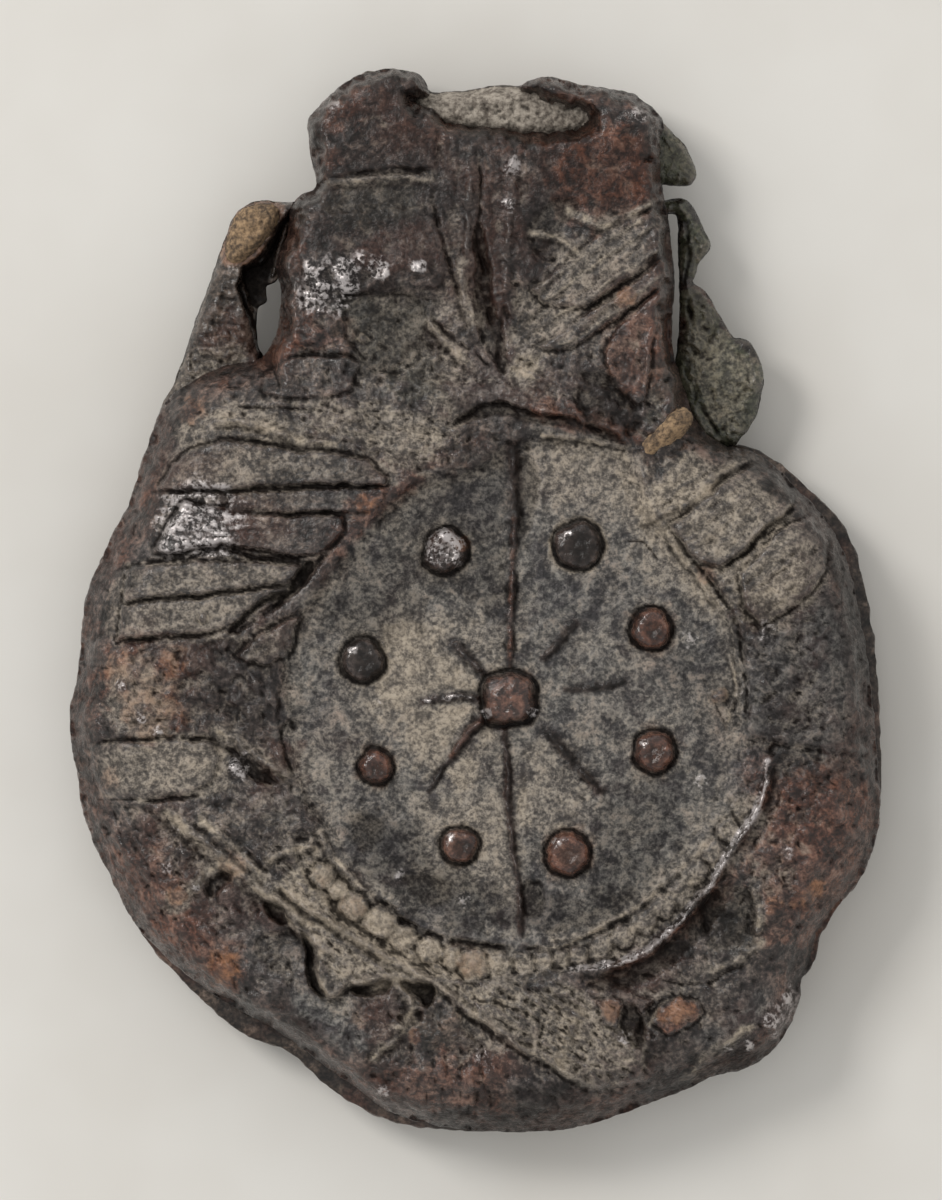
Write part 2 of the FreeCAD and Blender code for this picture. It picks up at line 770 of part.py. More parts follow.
# Soil: crusts that the ground has left, each lying on the metal or filling a gap in it
def crust(name, where_px, rise, height):
    """A lump of soil whose middle is at a height, through rings of uneven corners."""
    middle_px, reach_px, turn_deg = where_px
    rotation = Rotation(UP, turn_deg)
    rings = []
    for number, (level_share, spread_share) in enumerate(CRUST_SHARES):
        points = []
        for corner, corner_share in enumerate(CRUST_CORNER_SHARES):
            turn = 2 * math.pi * corner / len(CRUST_CORNER_SHARES)
            out_share = spread_share * corner_share
            x = (columns(reach_px[0]) * (out_share * math.cos(turn))).value
            y = (columns(reach_px[1]) * (out_share * math.sin(turn))).value
            z = (height + rise * level_share).value
            points.append(spot(middle_px) + rotation.multVec(Vector(x, y, z)))
        ring = doc.addObject("Part::Feature", f"{name}_ring_{number}")
        ring.Shape = Part.makePolygon(points + points[:1])
        rings.append(ring)
    return loft(name, rings)


handle_crust = crust(
    "handle_crust",
    HANDLE_SOIL_PX,
    size("handle_soil_rise"),
    SEAM + size("handle_thickness") * HANDLE_CRUST_LEVEL_SHARE,
)
handle_soil = without("handle_soil", handle_crust, [left_handle, front_blank])
shoulder_crust = crust(
    "shoulder_crust",
    SHOULDER_SOIL_PX,
    size("shoulder_soil_rise"),
    SEAM + size("neck_foot_front"),
)
shoulder_soil = without("shoulder_soil", shoulder_crust, [front_cast])
mouth_fill = block(
    "mouth_fill",
    MOUTH_SOIL_PX,
    SEAM - size("neck_mouth_back") + size("wall"),
    SEAM + size("mouth_soil_rise"),
)
mouth_plug = shared("mouth_plug", [bore, block("plug_reach", MOUTH_PLUG_PX, BOTTOM, TOP)])
mouth_mass = fused("mouth_mass", [mouth_fill, mouth_plug])
mouth_soil = without("mouth_soil", mouth_mass, [front_shell, back_wall])

PIECES = {
    "front_wall": front_wall,
    "back_wall": back_wall,
    "left_handle": left_handle,
    "right_handle_stub": right_handle_stub,
    "right_handle_flap": right_handle_flap,
    "mouth_soil": mouth_soil,
    "handle_soil": handle_soil,
    "shoulder_soil": shoulder_soil,
}
for label, made in PIECES.items():
    made.Label = label
doc.recompute()

for made in doc.Objects:
    if "Invalid" in made.State or "Error" in made.State:
        raise RuntimeError(f"{made.Name} failed: {made.State}")
for label, made in PIECES.items():
    if made.Shape.isNull() or not made.Shape.isValid():
        raise RuntimeError(f"{label} has no valid shape")

os.makedirs(PARTS_FOLDER, exist_ok=True)
for label, made in PIECES.items():
    made.Shape.exportStep(os.path.join(PARTS_FOLDER, f"{label}.step"))
    solids = len(made.Shape.Solids)
    print(f"{label}: {solids} solid, {made.Shape.Volume:.2f} cubic millimetres")
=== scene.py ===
"""A medieval pilgrim's flask of cast lead, dug up, flattened and corroded, lying on its back.

Every form is drawn in the photograph's pixels, turned to millimetres by one scale, and carved as
heights over the resting surface, so that a crack, a bar or a bead is geometry and not paint.
"""

import logging
import math
from dataclasses import dataclass
from enum import Enum
from typing import Optional, Sequence

import bpy
import numpy as np
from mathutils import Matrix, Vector


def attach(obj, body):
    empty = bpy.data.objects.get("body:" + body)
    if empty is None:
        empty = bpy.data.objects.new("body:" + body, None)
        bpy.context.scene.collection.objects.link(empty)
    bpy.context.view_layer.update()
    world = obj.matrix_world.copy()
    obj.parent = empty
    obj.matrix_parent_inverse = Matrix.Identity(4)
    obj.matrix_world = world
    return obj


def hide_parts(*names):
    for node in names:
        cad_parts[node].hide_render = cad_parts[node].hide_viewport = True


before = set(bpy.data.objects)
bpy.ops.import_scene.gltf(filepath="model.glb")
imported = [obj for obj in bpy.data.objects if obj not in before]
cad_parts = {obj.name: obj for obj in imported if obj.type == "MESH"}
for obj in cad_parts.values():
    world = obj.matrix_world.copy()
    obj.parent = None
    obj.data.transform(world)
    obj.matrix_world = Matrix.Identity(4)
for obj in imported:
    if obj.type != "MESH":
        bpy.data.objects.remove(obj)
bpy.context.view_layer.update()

logging.basicConfig(level=logging.INFO, format="%(message)s")
log = logging.getLogger("flask")

Point = tuple[float, float]
Path = Sequence[Point]
Window = tuple[slice, slice]
Socket = bpy.types.NodeSocket

# The photograph's pixels for the middle of the flask's outline box, and millimetres per pixel
MIDDLE_PX = (476.0, 600.5)
MM_PER_PX = (38.1 / 812, 50.0 / 1065)
PX_PER_MM = 812 / 38.1
MM = 0.001

# The height of the seam between the halves and of the highest knob, and half the flask's width and
# length, which nothing passes
SEAM_MM = 3.2
CEILING_MM = 8.63
REACH_MM = (19.09, 25.0)

# Brings gradient noise to a range of about -1 to 1, and each finer octave's share of the last
NOISE_GAIN = 1.55
OCTAVE_SHARE = 0.55

EVERYWHERE: Window = (slice(None), slice(None))


class Stain(Enum):
    """What lies on the metal, and painted shade and glints. Each is stored on the mesh as a named layer
    from 0 to 1.
    """

    CRUST = "crust"
    SLATE = "slate"
    RUST = "rust"
    OCHRE = "ochre"
    # Near-black: painted shade in folds, pits, recesses and on sides turned from the window, and dark
    # patina in some patches
    DARK_PATINA_AND_SHADE = "dark_patina_and_shade"
    SHINE = "shine"
    # Bright grey: painted glints, and bare metal where the crust is worn through
    BARE_METAL_AND_GLINT = "bare_metal_and_glint"
    MOSS = "moss"


def px(line: str) -> Path:
    """A line drawn over the photograph, from its points' x,y pairs in pixels."""
    return tuple(tuple(int(figure) for figure in pair.split(",")) for pair in line.split())


def smooth_step(x: np.ndarray) -> np.ndarray:
    """An S-curve from 0 at 0 to 1 at 1."""
    x = np.clip(x, 0.0, 1.0)
    return x * x * (3 - 2 * x)


def lattice_noise(u: np.ndarray, v: np.ndarray, scale: float, seed: int) -> np.ndarray:
    """Smooth gradient noise.

    Args:
        u: places across, in pixels.
        v: places down, in pixels.
        scale: the size of a bump, in pixels.
        seed: the draw.

    Returns:
        Values from about -1 to 1.
    """
    rng = np.random.default_rng(seed)
    turn = rng.random() * math.tau
    c, s = math.cos(turn) / scale, math.sin(turn) / scale
    x, y = u * c - v * s, u * s + v * c
    x, y = x - x.min(), y - y.min()
    column, row = x.astype(int), y.astype(int)
    fx, fy = x - column, y - row
    angles = rng.random((row.max() + 2, column.max() + 2)) * math.tau
    gx, gy = np.cos(angles), np.sin(angles)

    def corner(dr: int, dc: int) -> np.ndarray:
        """What one corner of each lattice square adds."""
        r, k = row + dr, column + dc
        return gx[r, k] * (fx - dc) + gy[r, k] * (fy - dr)

    sx = fx * fx * fx * (fx * (fx * 6 - 15) + 10)
    sy = fy * fy * fy * (fy * (fy * 6 - 15) + 10)
    top = corner(0, 0) * (1 - sx) + corner(0, 1) * sx
    low = corner(1, 0) * (1 - sx) + corner(1, 1) * sx
    return (top * (1 - sy) + low * sy) * NOISE_GAIN


def cloud(u: np.ndarray, v: np.ndarray, scale: float, seed: int, octaves: int = 3) -> np.ndarray:
    """Noise in several sizes, each half the last.

    Args:
        u: places across, in pixels.
        v: places down, in pixels.
        scale: the size of the largest bumps, in pixels.
        seed: the draw.
        octaves: how many sizes.

    Returns:
        Values from about -1 to 1.
    """
    total, weight, share = np.zeros_like(u), 0.0, 1.0
    for octave in range(octaves):
        total += share * lattice_noise(u, v, scale / 2**octave, seed * 31 + octave)
        weight += share * share
        share *= OCTAVE_SHARE
    return total / math.sqrt(weight)


def cells(u: np.ndarray, v: np.ndarray, scale: float, seed: int) -> tuple[np.ndarray, ...]:
    """Scattered points, one in each square of a lattice.

    Args:
        u: places across, in pixels.
        v: places down, in pixels.
        scale: the size of a square, in pixels.
        seed: the draw.

    Returns:
        The distance to the nearest point and to the next, in squares, and a value from 0 to 1
        that is the same all over a point's own cell.
    """
    rng = np.random.default_rng(seed)
    x, y = u / scale, v / scale
    x, y = x - x.min() + 1, y - y.min() + 1
    column, row = x.astype(int), y.astype(int)
    shape = (row.max() + 3, column.max() + 3)
    jx, jy, own = rng.random(shape), rng.random(shape), rng.random(shape)
    near = np.full(u.shape, 9.0)
    far = np.full(u.shape, 9.0)
    value = np.zeros(u.shape)
    for dr in (-1, 0, 1):
        for dc in (-1, 0, 1):
            r, k = row + dr, column + dc
            gap = np.hypot(k + jx[r, k] - x, r + jy[r, k] - y)
            far = np.minimum(far, np.maximum(near, gap))
            value = np.where(gap < near, own[r, k], value)
            near = np.minimum(near, gap)
    return near, far, value


def blur(values: np.ndarray, sigma: float) -> np.ndarray:
    """A Gaussian blur.

    Args:
        values: what to blur.
        sigma: how far, in steps of the net.

    Returns:
        The blurred values.
    """
    reach = max(1, int(math.ceil(sigma * 2.5)))
    weights = np.exp(-0.5 * (np.arange(-reach, reach + 1) / sigma) ** 2)
    weights /= weights.sum()
    for axis in (0, 1):
        pad = [(reach, reach) if axis == 0 else (0, 0), (reach, reach) if axis == 1 else (0, 0)]
        padded = np.pad(values, pad, mode="edge")
        total = np.zeros_like(values)
        for i, weight in enumerate(weights):
            cut = [slice(None), slice(None)]
            cut[axis] = slice(i, i + values.shape[axis])
            total += weight * padded[tuple(cut)]
        values = total
    return values


def curve(points: Path, closed: bool = False, spacing: float = 4.0) -> np.ndarray:
    """A smooth line through given points.

    Args:
        points: the points, in pixels.
        closed: whether the line returns to its start.
        spacing: the most that its steps are apart, in pixels.

    Returns:
        The line as an array of points.
    """
    p = np.array(points, float)
    if closed:
        p = np.vstack([p[-1], p, p[0], p[1]])
    else:
        p = np.vstack([2 * p[0] - p[1], p, 2 * p[-1] - p[-2]])
    out = []
    for a, b, c, d in zip(p[:-3], p[1:-2], p[2:-1], p[3:]):
        count = max(1, int(math.ceil(np.linalg.norm(c - b) / spacing)))
        t = (np.arange(count) / count)[:, None]
        bend = (2 * a - 5 * b + 4 * c - d) * t**2 + (3 * b - a - 3 * c + d) * t**3
        out.append(b + 0.5 * ((c - a) * t + bend))
    if not closed:
        out.append(p[-2:-1])
    return np.vstack(out)


def drawn(points: Path) -> np.ndarray:
    """A drawn line: smooth through three points or more, and straight between two."""
    return curve(points) if len(points) > 2 else np.array(points, float)


class Net:
    """A square net of points over part of the photograph's frame, in its pixels."""

    def __init__(self, box: tuple[float, float, float, float], step: float, seed: int) -> None:
        """Lays the net.

        Args:
            box: its left, top, right and bottom.
            step: the spacing of its points.
            seed: the draw of the wander that drawn lines are given.
        """
        left, top, right, bottom = box
        self.step = step
        self.columns = np.arange(left, right + step, step)
        self.rows = np.arange(top, bottom + step, step)
        self.u, self.v = np.meshgrid(self.columns, self.rows)
        self.wander(seed)

    def wander(self, seed: int) -> None:
        """Bends the net that drawn forms are measured on, so that no edge is ruled.

        Args:
            seed: the draw.
        """
        u, v = self.u, self.v
        self.wu = u + 2.4 * cloud(u, v, 34, seed, 3) + 0.9 * cloud(u, v, 9, seed + 1, 2)
        self.wv = v + 2.4 * cloud(u, v, 34, seed + 2, 3) + 0.9 * cloud(u, v, 9, seed + 3, 2)

    def window(self, points: np.ndarray, margin: float) -> Window:
        """The part of the net round some points.

        Args:
            points: the points.
            margin: how far round them, in pixels.

        Returns:
            The part's rows and columns.
        """
        low, high = points.min(0) - margin, points.max(0) + margin
        across = np.clip(np.searchsorted(self.columns, [low[0], high[0]]), 0, len(self.columns) - 1)
        down = np.clip(np.searchsorted(self.rows, [low[1], high[1]]), 0, len(self.rows) - 1)
        return slice(down[0], down[1] + 1), slice(across[0], across[1] + 1)

    def from_path(
        self, points: np.ndarray, margin: float, closed: bool = False, straight: bool = False
    ) -> tuple[Window, np.ndarray, np.ndarray]:
        """How far the net's points are from a line.

        Args:
            points: the line.
            margin: how far from it to look, in pixels.
            closed: whether it returns to its start.
            straight: whether to measure on the unbent net.

        Returns:
            The window looked at, the distance in pixels, and the share of the line's length at
            the nearest point on it.
        """
        part = self.window(points, margin)
        u, v = (self.u[part], self.v[part]) if straight else (self.wu[part], self.wv[part])
        ends = np.vstack([points[1:], points[:1]]) if closed else points[1:]
        starts = points if closed else points[:-1]
        steps = np.hypot(*(ends - starts).T)
        run = np.concatenate([[0.0], np.cumsum(steps)])
        near = np.full(u.shape, 1e6)
        along = np.zeros(u.shape)
        for i, (a, b) in enumerate(zip(starts, ends)):
            d = b - a
            t = np.clip(((u - a[0]) * d[0] + (v - a[1]) * d[1]) / max(d @ d, 1e-9), 0, 1)
            gap = np.hypot(u - a[0] - t * d[0], v - a[1] - t * d[1])
            closer = gap < near
            near = np.where(closer, gap, near)
            along = np.where(closer, run[i] + t * steps[i], along)
        return part, near, along / max(run[-1], 1e-9)

    def holds(self, part: Window, points: np.ndarray, straight: bool = False) -> np.ndarray:
        """Which of the net's points lie inside a closed line.

        Args:
            part: the window to look in.
            points: the line.
            straight: whether to measure on the unbent net.

        Returns:
            True for each point inside.
        """
        u, v = (self.u[part], self.v[part]) if straight else (self.wu[part], self.wv[part])
        inside = np.zeros(u.shape, bool)
        for a, b in zip(points, np.roll(points, -1, 0)):
            if a[1] == b[1]:
                continue
            crosses = (a[1] > v) != (b[1] > v)
            inside ^= crosses & (u < (b[0] - a[0]) * (v - a[1]) / (b[1] - a[1]) + a[0])
        return inside

    def depth_in(self, points: np.ndarray, margin: float) -> tuple[Window, np.ndarray]:
        """A window, and how far inside a closed line its points are, negative outside."""
        part, near, _ = self.from_path(points, margin, closed=True)
        return part, np.where(self.holds(part, points), near, -near)

    def depth_everywhere(self, points: np.ndarray) -> np.ndarray:
        """How far inside a closed line each point of the net is.

        It is measured on a coarse net and read off between its points, and near the line, where it
        matters, again on the fine net.

        Args:
            points: the line.

        Returns:
            The depths in pixels, negative outside.
        """
        stride, exact_reach, run = 6, 26.0, 12
        coarse = Net.__new__(Net)
        coarse.columns, coarse.rows = self.columns[::stride], self.rows[::stride]
        coarse.u, coarse.v = np.meshgrid(coarse.columns, coarse.rows)
        near = coarse.from_path(points, 1e4, closed=True, straight=True)[1]

        def between(count: int, coarse_count: int) -> tuple[np.ndarray, np.ndarray]:
            """For each fine line of the net, the coarse line before it and how far past that it is."""
            ticks = np.arange(coarse_count)
            place = np.interp(np.arange(count), ticks * stride, ticks)
            before = np.minimum(place.astype(int), coarse_count - 2)
            return before, place - before

        r, fr = between(len(self.rows), len(coarse.rows))
        c, fc = between(len(self.columns), len(coarse.columns))
        fr = fr[:, None]
        above = near[r][:, c] * (1 - fc) + near[r][:, c + 1] * fc
        below = near[r + 1][:, c] * (1 - fc) + near[r + 1][:, c + 1] * fc
        deep = above * (1 - fr) + below * fr
        exact = np.full(deep.shape, 1e6)
        for first in range(0, len(points), run):
            some = points[np.arange(first, min(first + run + 1, len(points) + 1)) % len(points)]
            part, near, _ = self.from_path(some, exact_reach, straight=True)
            exact[part] = np.minimum(exact[part], near)
        deep = np.where(exact < exact_reach, exact, deep)
        whole = (slice(0, len(self.rows)), slice(0, len(self.columns)))
        return np.where(self.holds(whole, points, straight=True), deep, -deep)


class Relief:
    """Heights over a net, in millimetres, with the stains that go with them."""

    def __init__(self, net: Net, height: np.ndarray) -> None:
        """Starts from a plain surface with no stains.

        Args:
            net: the net.
            height: the surface's heights.
        """
        self.net = net
        self.height = height
        self.stains = {kind: np.zeros_like(height) for kind in Stain}
        self.bare = np.zeros_like(height)

    def plate(
        self, points: Path, rise: float, bevel: float = 6.0, crease: float = 0.0, smooth: bool = False
    ) -> None:
        """Raises or sinks the inside of a closed line.

        Args:
            points: the line.
            rise: how far, in millimetres; negative sinks.
            bevel: the width of the sloping edge, in pixels.
            crease: how deep a fold runs round it, in millimetres; painted shade darkens the fold.
            smooth: whether the line bends through its points.
        """
        line = curve(points, True) if smooth else np.array(points, float)
        part, deep = self.net.depth_in(line, bevel + 10)
        self.height[part] += rise * smooth_step(deep / bevel + 0.5)
        if crease:
            fold = np.exp(-(((deep + bevel * 0.5 + 0.8) / 2.1) ** 2)) * self.uneven(part)
            self.height[part] -= crease * fold
            # Painted shade in the fold
            self.mark(Stain.DARK_PATINA_AND_SHADE, part, fold * min(1.0, crease * 4))

    def uneven(self, part: Window) -> np.ndarray:
        """A strength that comes and goes along a drawn line, from 0 to about 1."""
        return np.clip(0.58 + 0.75 * cloud(self.net.u[part], self.net.v[part], 22, 4021, 3), 0.0, 1.15)

    def along(self, points: Path, width: float, share: float) -> tuple[Window, np.ndarray]:
        """A drawn line's own strength, full on the line and fading beside it and at its ends.

        Args:
            points: the line.
            width: its width, in pixels.
            share: how far off the line the strength falls, as a share of the width.

        Returns:
            The window, and the strength there.
        """
        part, near, run = self.net.from_path(drawn(points), width * 2 + 3)
        fade = smooth_step(np.minimum(run, 1 - run) * 7 + 0.15)
        return part, np.exp(-((near / (width * share)) ** 2)) * fade

    def groove(self, points: Path, width: float, depth: float, dark_patina_and_shade: float = 1.0) -> None:
        """Cuts a line that fades at its ends, with painted shade in the cut.

        Args:
            points: the line.
            width: its width, in pixels.
            depth: how deep, in millimetres; negative raises a rib.
            dark_patina_and_shade: how dark the painted shade in the cut is, from 0 to 1.
        """
        part, shape = self.along(points, width, 0.52)
        shape = shape * self.uneven(part)
        self.height[part] -= depth * shape
        # Painted shade in the cut
        if depth > 0 and dark_patina_and_shade:
            self.mark(Stain.DARK_PATINA_AND_SHADE, part, shape * dark_patina_and_shade)

    def rib(self, points: Path, width: float, rise: float, shine: float = 0.0) -> None:
        """Raises a line that fades at its ends.

        Args:
            points: the line.
            width: its width, in pixels.
            rise: its height, in millimetres.
            shine: how bright its crest is worn, from 0 to 1.
        """
        self.groove(points, width, -rise, 0)
        if shine:
            part, crest = self.along(points, width, 0.5)
            self.mark(Stain.SHINE, part, crest * shine)

    def knob(
        self,
        centre: Point,
        radius: float,
        rise: float,
        crease: float = 0.12,
        oval: float = 1.0,
        turn: float = 0.0,
        square: float = 2.0,
        dish: float = 0.0,
        worn: float = 1.0,
    ) -> None:
        """Raises a worn knob with a steep side and a low crown, in a fold of its own that painted shade
        darkens.

        Args:
            centre: its place, in pixels.
            radius: its reach, in pixels.
            rise: its height, in millimetres.
            crease: how deep the fold round it runs, in millimetres.
            oval: its width over its length.
            turn: the turn of its length, in degrees.
            square: 2 for a round knob, more for a squarer one.
            dish: how far its crown is sunk, as a share of its height.
            worn: how much of the crust is worn off it, from 0 to 1.
        """
        spot = np.array([centre], float)
        part = self.net.window(spot, radius * 2 + 8)
        du, dv = self.net.wu[part] - centre[0], self.net.wv[part] - centre[1]
        c, s = math.cos(math.radians(turn)), math.sin(math.radians(turn))
        across, along = np.abs(du * c - dv * s), np.abs(du * s + dv * c) * oval
        gap = (across**square + along**square) ** (1 / square)
        uneven = lattice_noise(self.net.u[part], self.net.v[part], radius * 0.8, int(centre[0]))
        gap += 0.08 * radius * uneven
        share = np.clip(gap / radius, 0, 1)
        dome = np.sqrt(np.clip(1 - share**3.6, 0, 1)) * (1 + 0.10 * uneven * (1 - share))
        dome -= dish * np.exp(-((share / 0.5) ** 4)) * (1 + 0.6 * uneven)
        self.height[part] += rise * dome
        fold = np.exp(-(((gap - radius - 1.5) / 2.4) ** 2))
        self.height[part] -= crease * fold
        # Painted shade in the fold round it
        self.mark(Stain.DARK_PATINA_AND_SHADE, part, fold * min(1.0, crease * 6))
        self.bare[part] = np.maximum(self.bare[part], worn * smooth_step((radius + 1 - gap) / 3))

    def swell(self, centre: Point, radius: float, rise: float) -> None:
        """Raises a soft round lump.

        Args:
            centre: its place, in pixels.
            radius: its reach, in pixels.
            rise: its height, in millimetres.
        """
        part = self.net.window(np.array([centre], float), radius * 2.4)
        gap = np.hypot(self.net.wu[part] - centre[0], self.net.wv[part] - centre[1]) / radius
        self.height[part] += rise * np.exp(-(gap**2.6))

    def mark(self, kind: Stain, part: Window, strength: np.ndarray) -> None:
        """Lays a stain over what is there, never past full strength."""
        held = self.stains[kind]
        held[part] = 1 - (1 - held[part]) * (1 - np.clip(strength, 0, 1))

    def wash(self, kind: Stain, points: Path, strength: float, soft: float, ragged: float) -> None:
        """Stains the inside of a closed line.

        Args:
            kind: the stain.
            points: the line.
            strength: from 0 to 1; negative wipes the stain off.
            soft: the width over which its edge fades, in pixels.
            ragged: how far its edge wanders, in pixels.
        """
        line = curve(points, True, 8.0)
        part, deep = self.net.depth_in(line, soft + ragged * 2 + 6)
        seed = int(points[0][0] * 7 + points[0][1] * 13) % 9973
        u, v = self.net.u[part], self.net.v[part]
        edge = ragged * (cloud(u, v, 42, seed, 3) + 0.5 * cloud(u, v, 11, seed + 1, 2))
        amount = smooth_step((deep + edge) / soft + 0.5)
        if strength < 0:
            self.stains[kind][part] *= 1 + strength * amount
        else:
            self.mark(kind, part, strength * amount)

    def dab(self, kind: Stain, centre: Point, radius: float, strength: float) -> None:
        """Stains round a point.

        Args:
            kind: the stain.
            centre: the point, in pixels.
            radius: how far round it, in pixels.
            strength: from 0 to 1; 0 cleans most of the stain off.
        """
        part = self.net.window(np.array([centre], float), radius * 2.2 + 4)
        u, v = self.net.wu[part], self.net.wv[part]
        seed = int(centre[0] * 5 + centre[1] * 11) % 9973
        gap = np.hypot(u - centre[0], v - centre[1]) / radius
        gap += 0.35 * cloud(u, v, max(radius * 0.6, 4), seed, 2)
        share = smooth_step((1.35 - gap) / 0.7)
        if strength == 0:
            self.stains[kind][part] *= 1 - 0.8 * share
        self.mark(kind, part, strength * share)

    def streak(self, kind: Stain, points: Path, width: float, strength: float) -> None:
        """Stains along a line.

        Args:
            kind: the stain.
            points: the line.
            width: how wide, in pixels.
            strength: from 0 to 1; negative wipes the stain off.
        """
        part, near, _ = self.net.from_path(drawn(points), width * 2 + 3)
        amount = strength * np.exp(-((near / width) ** 2)) * (0.4 + 0.6 * self.uneven(part))
        if strength < 0:
            self.stains[kind][part] *= 1 + amount
        else:
            self.mark(kind, part, amount)

    def wipe(self, points: Path, width: float) -> None:
        """Takes the crust and the slate off along a line, where wear has bared the metal.

        Args:
            points: the line.
            width: how wide, in pixels.
        """
        part, near, _ = self.net.from_path(curve(points), width * 2 + 3)
        bare = np.exp(-((near / width) ** 2))
        self.bare[part] = np.maximum(self.bare[part], bare)

    def weather(self, rough: np.ndarray, seed: int) -> None:
        """Eats the surface: lumps, folds between them, pits darkened with painted shade, and flaked steps.

        Args:
            rough: how badly each place is eaten, from 0 to 1.
            seed: the draw.
        """
        u, v = self.net.u, self.net.v
        wu = u + 5 * cloud(u, v, 26, seed + 1)
        wv = v + 5 * cloud(u, v, 26, seed + 2)
        swell = cloud(u, v, 95, seed + 3, 3)
        patch = smooth_step(0.45 + 1.1 * cloud(u, v, 64, seed + 10, 2))
        lumps = lattice_noise(wu, wv, 27, seed + 4)
        small = cloud(wu, wv, 13, seed + 5, 2)
        grain = cloud(wu, wv, 7.0, seed + 6, 2)
        puffs = np.abs(lattice_noise(wu, wv, 14.0, seed + 9)) - 0.3
        near, _, value = cells(wu, wv, 13, seed + 7)
        pits = smooth_step((0.42 - near) / 0.3) * (value > 0.7)
        step = cloud(wu, wv, 44, seed + 8, 3) * 2.2
        flakes = np.floor(step) + smooth_step((step - np.floor(step)) * 6 - 2.5)
        self.height += 0.10 * swell
        self.height += rough * (0.13 * lumps + 0.12 * puffs + 0.05 * flakes - 0.08 * pits)
        self.height += rough * (0.035 + 0.085 * patch) * small
        self.height += (0.019 + 0.036 * rough * patch) * grain
        # Painted shade in the pits
        self.mark(Stain.DARK_PATINA_AND_SHADE, EVERYWHERE, 0.2 * rough * pits)

    def score(self, points: Path, angle: float, depth: float, size: float = 6.0) -> None:
        """Draws the surface out in one direction, as where the sheet was dragged and folded.

        Args:
            points: the closed line that it is done in.
            angle: its direction, in degrees clockwise from the photograph's right.
            depth: the height of the scores, in millimetres.
            size: the width of one, in pixels.
        """
        stretch = 6.0
        part, deep = self.net.depth_in(curve(points, True, 8.0), 24)
        u, v = self.net.wu[part], self.net.wv[part]
        c, s = math.cos(math.radians(angle)), math.sin(math.radians(angle))
        seed = int(points[0][0] * 3 + points[0][1] * 5) % 9973
        lines = cloud((u * c + v * s) / stretch, v * c - u * s, size, seed, 3)
        self.height[part] += depth * lines * smooth_step(deep / 14 + 0.5)

    def age(self) -> None:
        """Darkens the folds with painted shade, wears the heights and leaves crust between, by how each
        place stands.
        """
        dirt = 0.35
        per = 1 / self.net.step
        fine = self.height - blur(self.height, 2.6 * per)
        broad = self.height - blur(self.height, 9.0 * per)
        fold = smooth_step(-fine / 0.05 - 0.25) * 0.9 + smooth_step(-broad / 0.24 - 0.35) * 0.45
        shallow = smooth_step(-broad / 0.07) * (1 - np.clip(fold, 0, 1))
        # Painted shade in the hollows, darker where they are deeper and narrower
        self.mark(Stain.DARK_PATINA_AND_SHADE, EVERYWHERE, np.clip(fold, 0, 0.95))
        self.mark(Stain.CRUST, EVERYWHERE, dirt * shallow)
        proud = smooth_step(fine / 0.05 - 0.2) * 0.5 + smooth_step(broad / 0.16 - 0.3) * 0.6
        proud = np.clip(proud, 0, 1)
        self.stains[Stain.CRUST] *= (1 - 0.55 * proud) * (1 - 0.85 * self.bare)
        self.stains[Stain.SLATE] *= (1 - 0.35 * proud) * (1 - 0.8 * self.bare)
        # The painted glints and the bare metal stay mostly on what stands proud
        self.stains[Stain.BARE_METAL_AND_GLINT] *= 0.25 + 0.75 * smooth_step(fine / 0.03 + 0.4)
        self.mark(Stain.SHINE, EVERYWHERE, proud * 0.8)


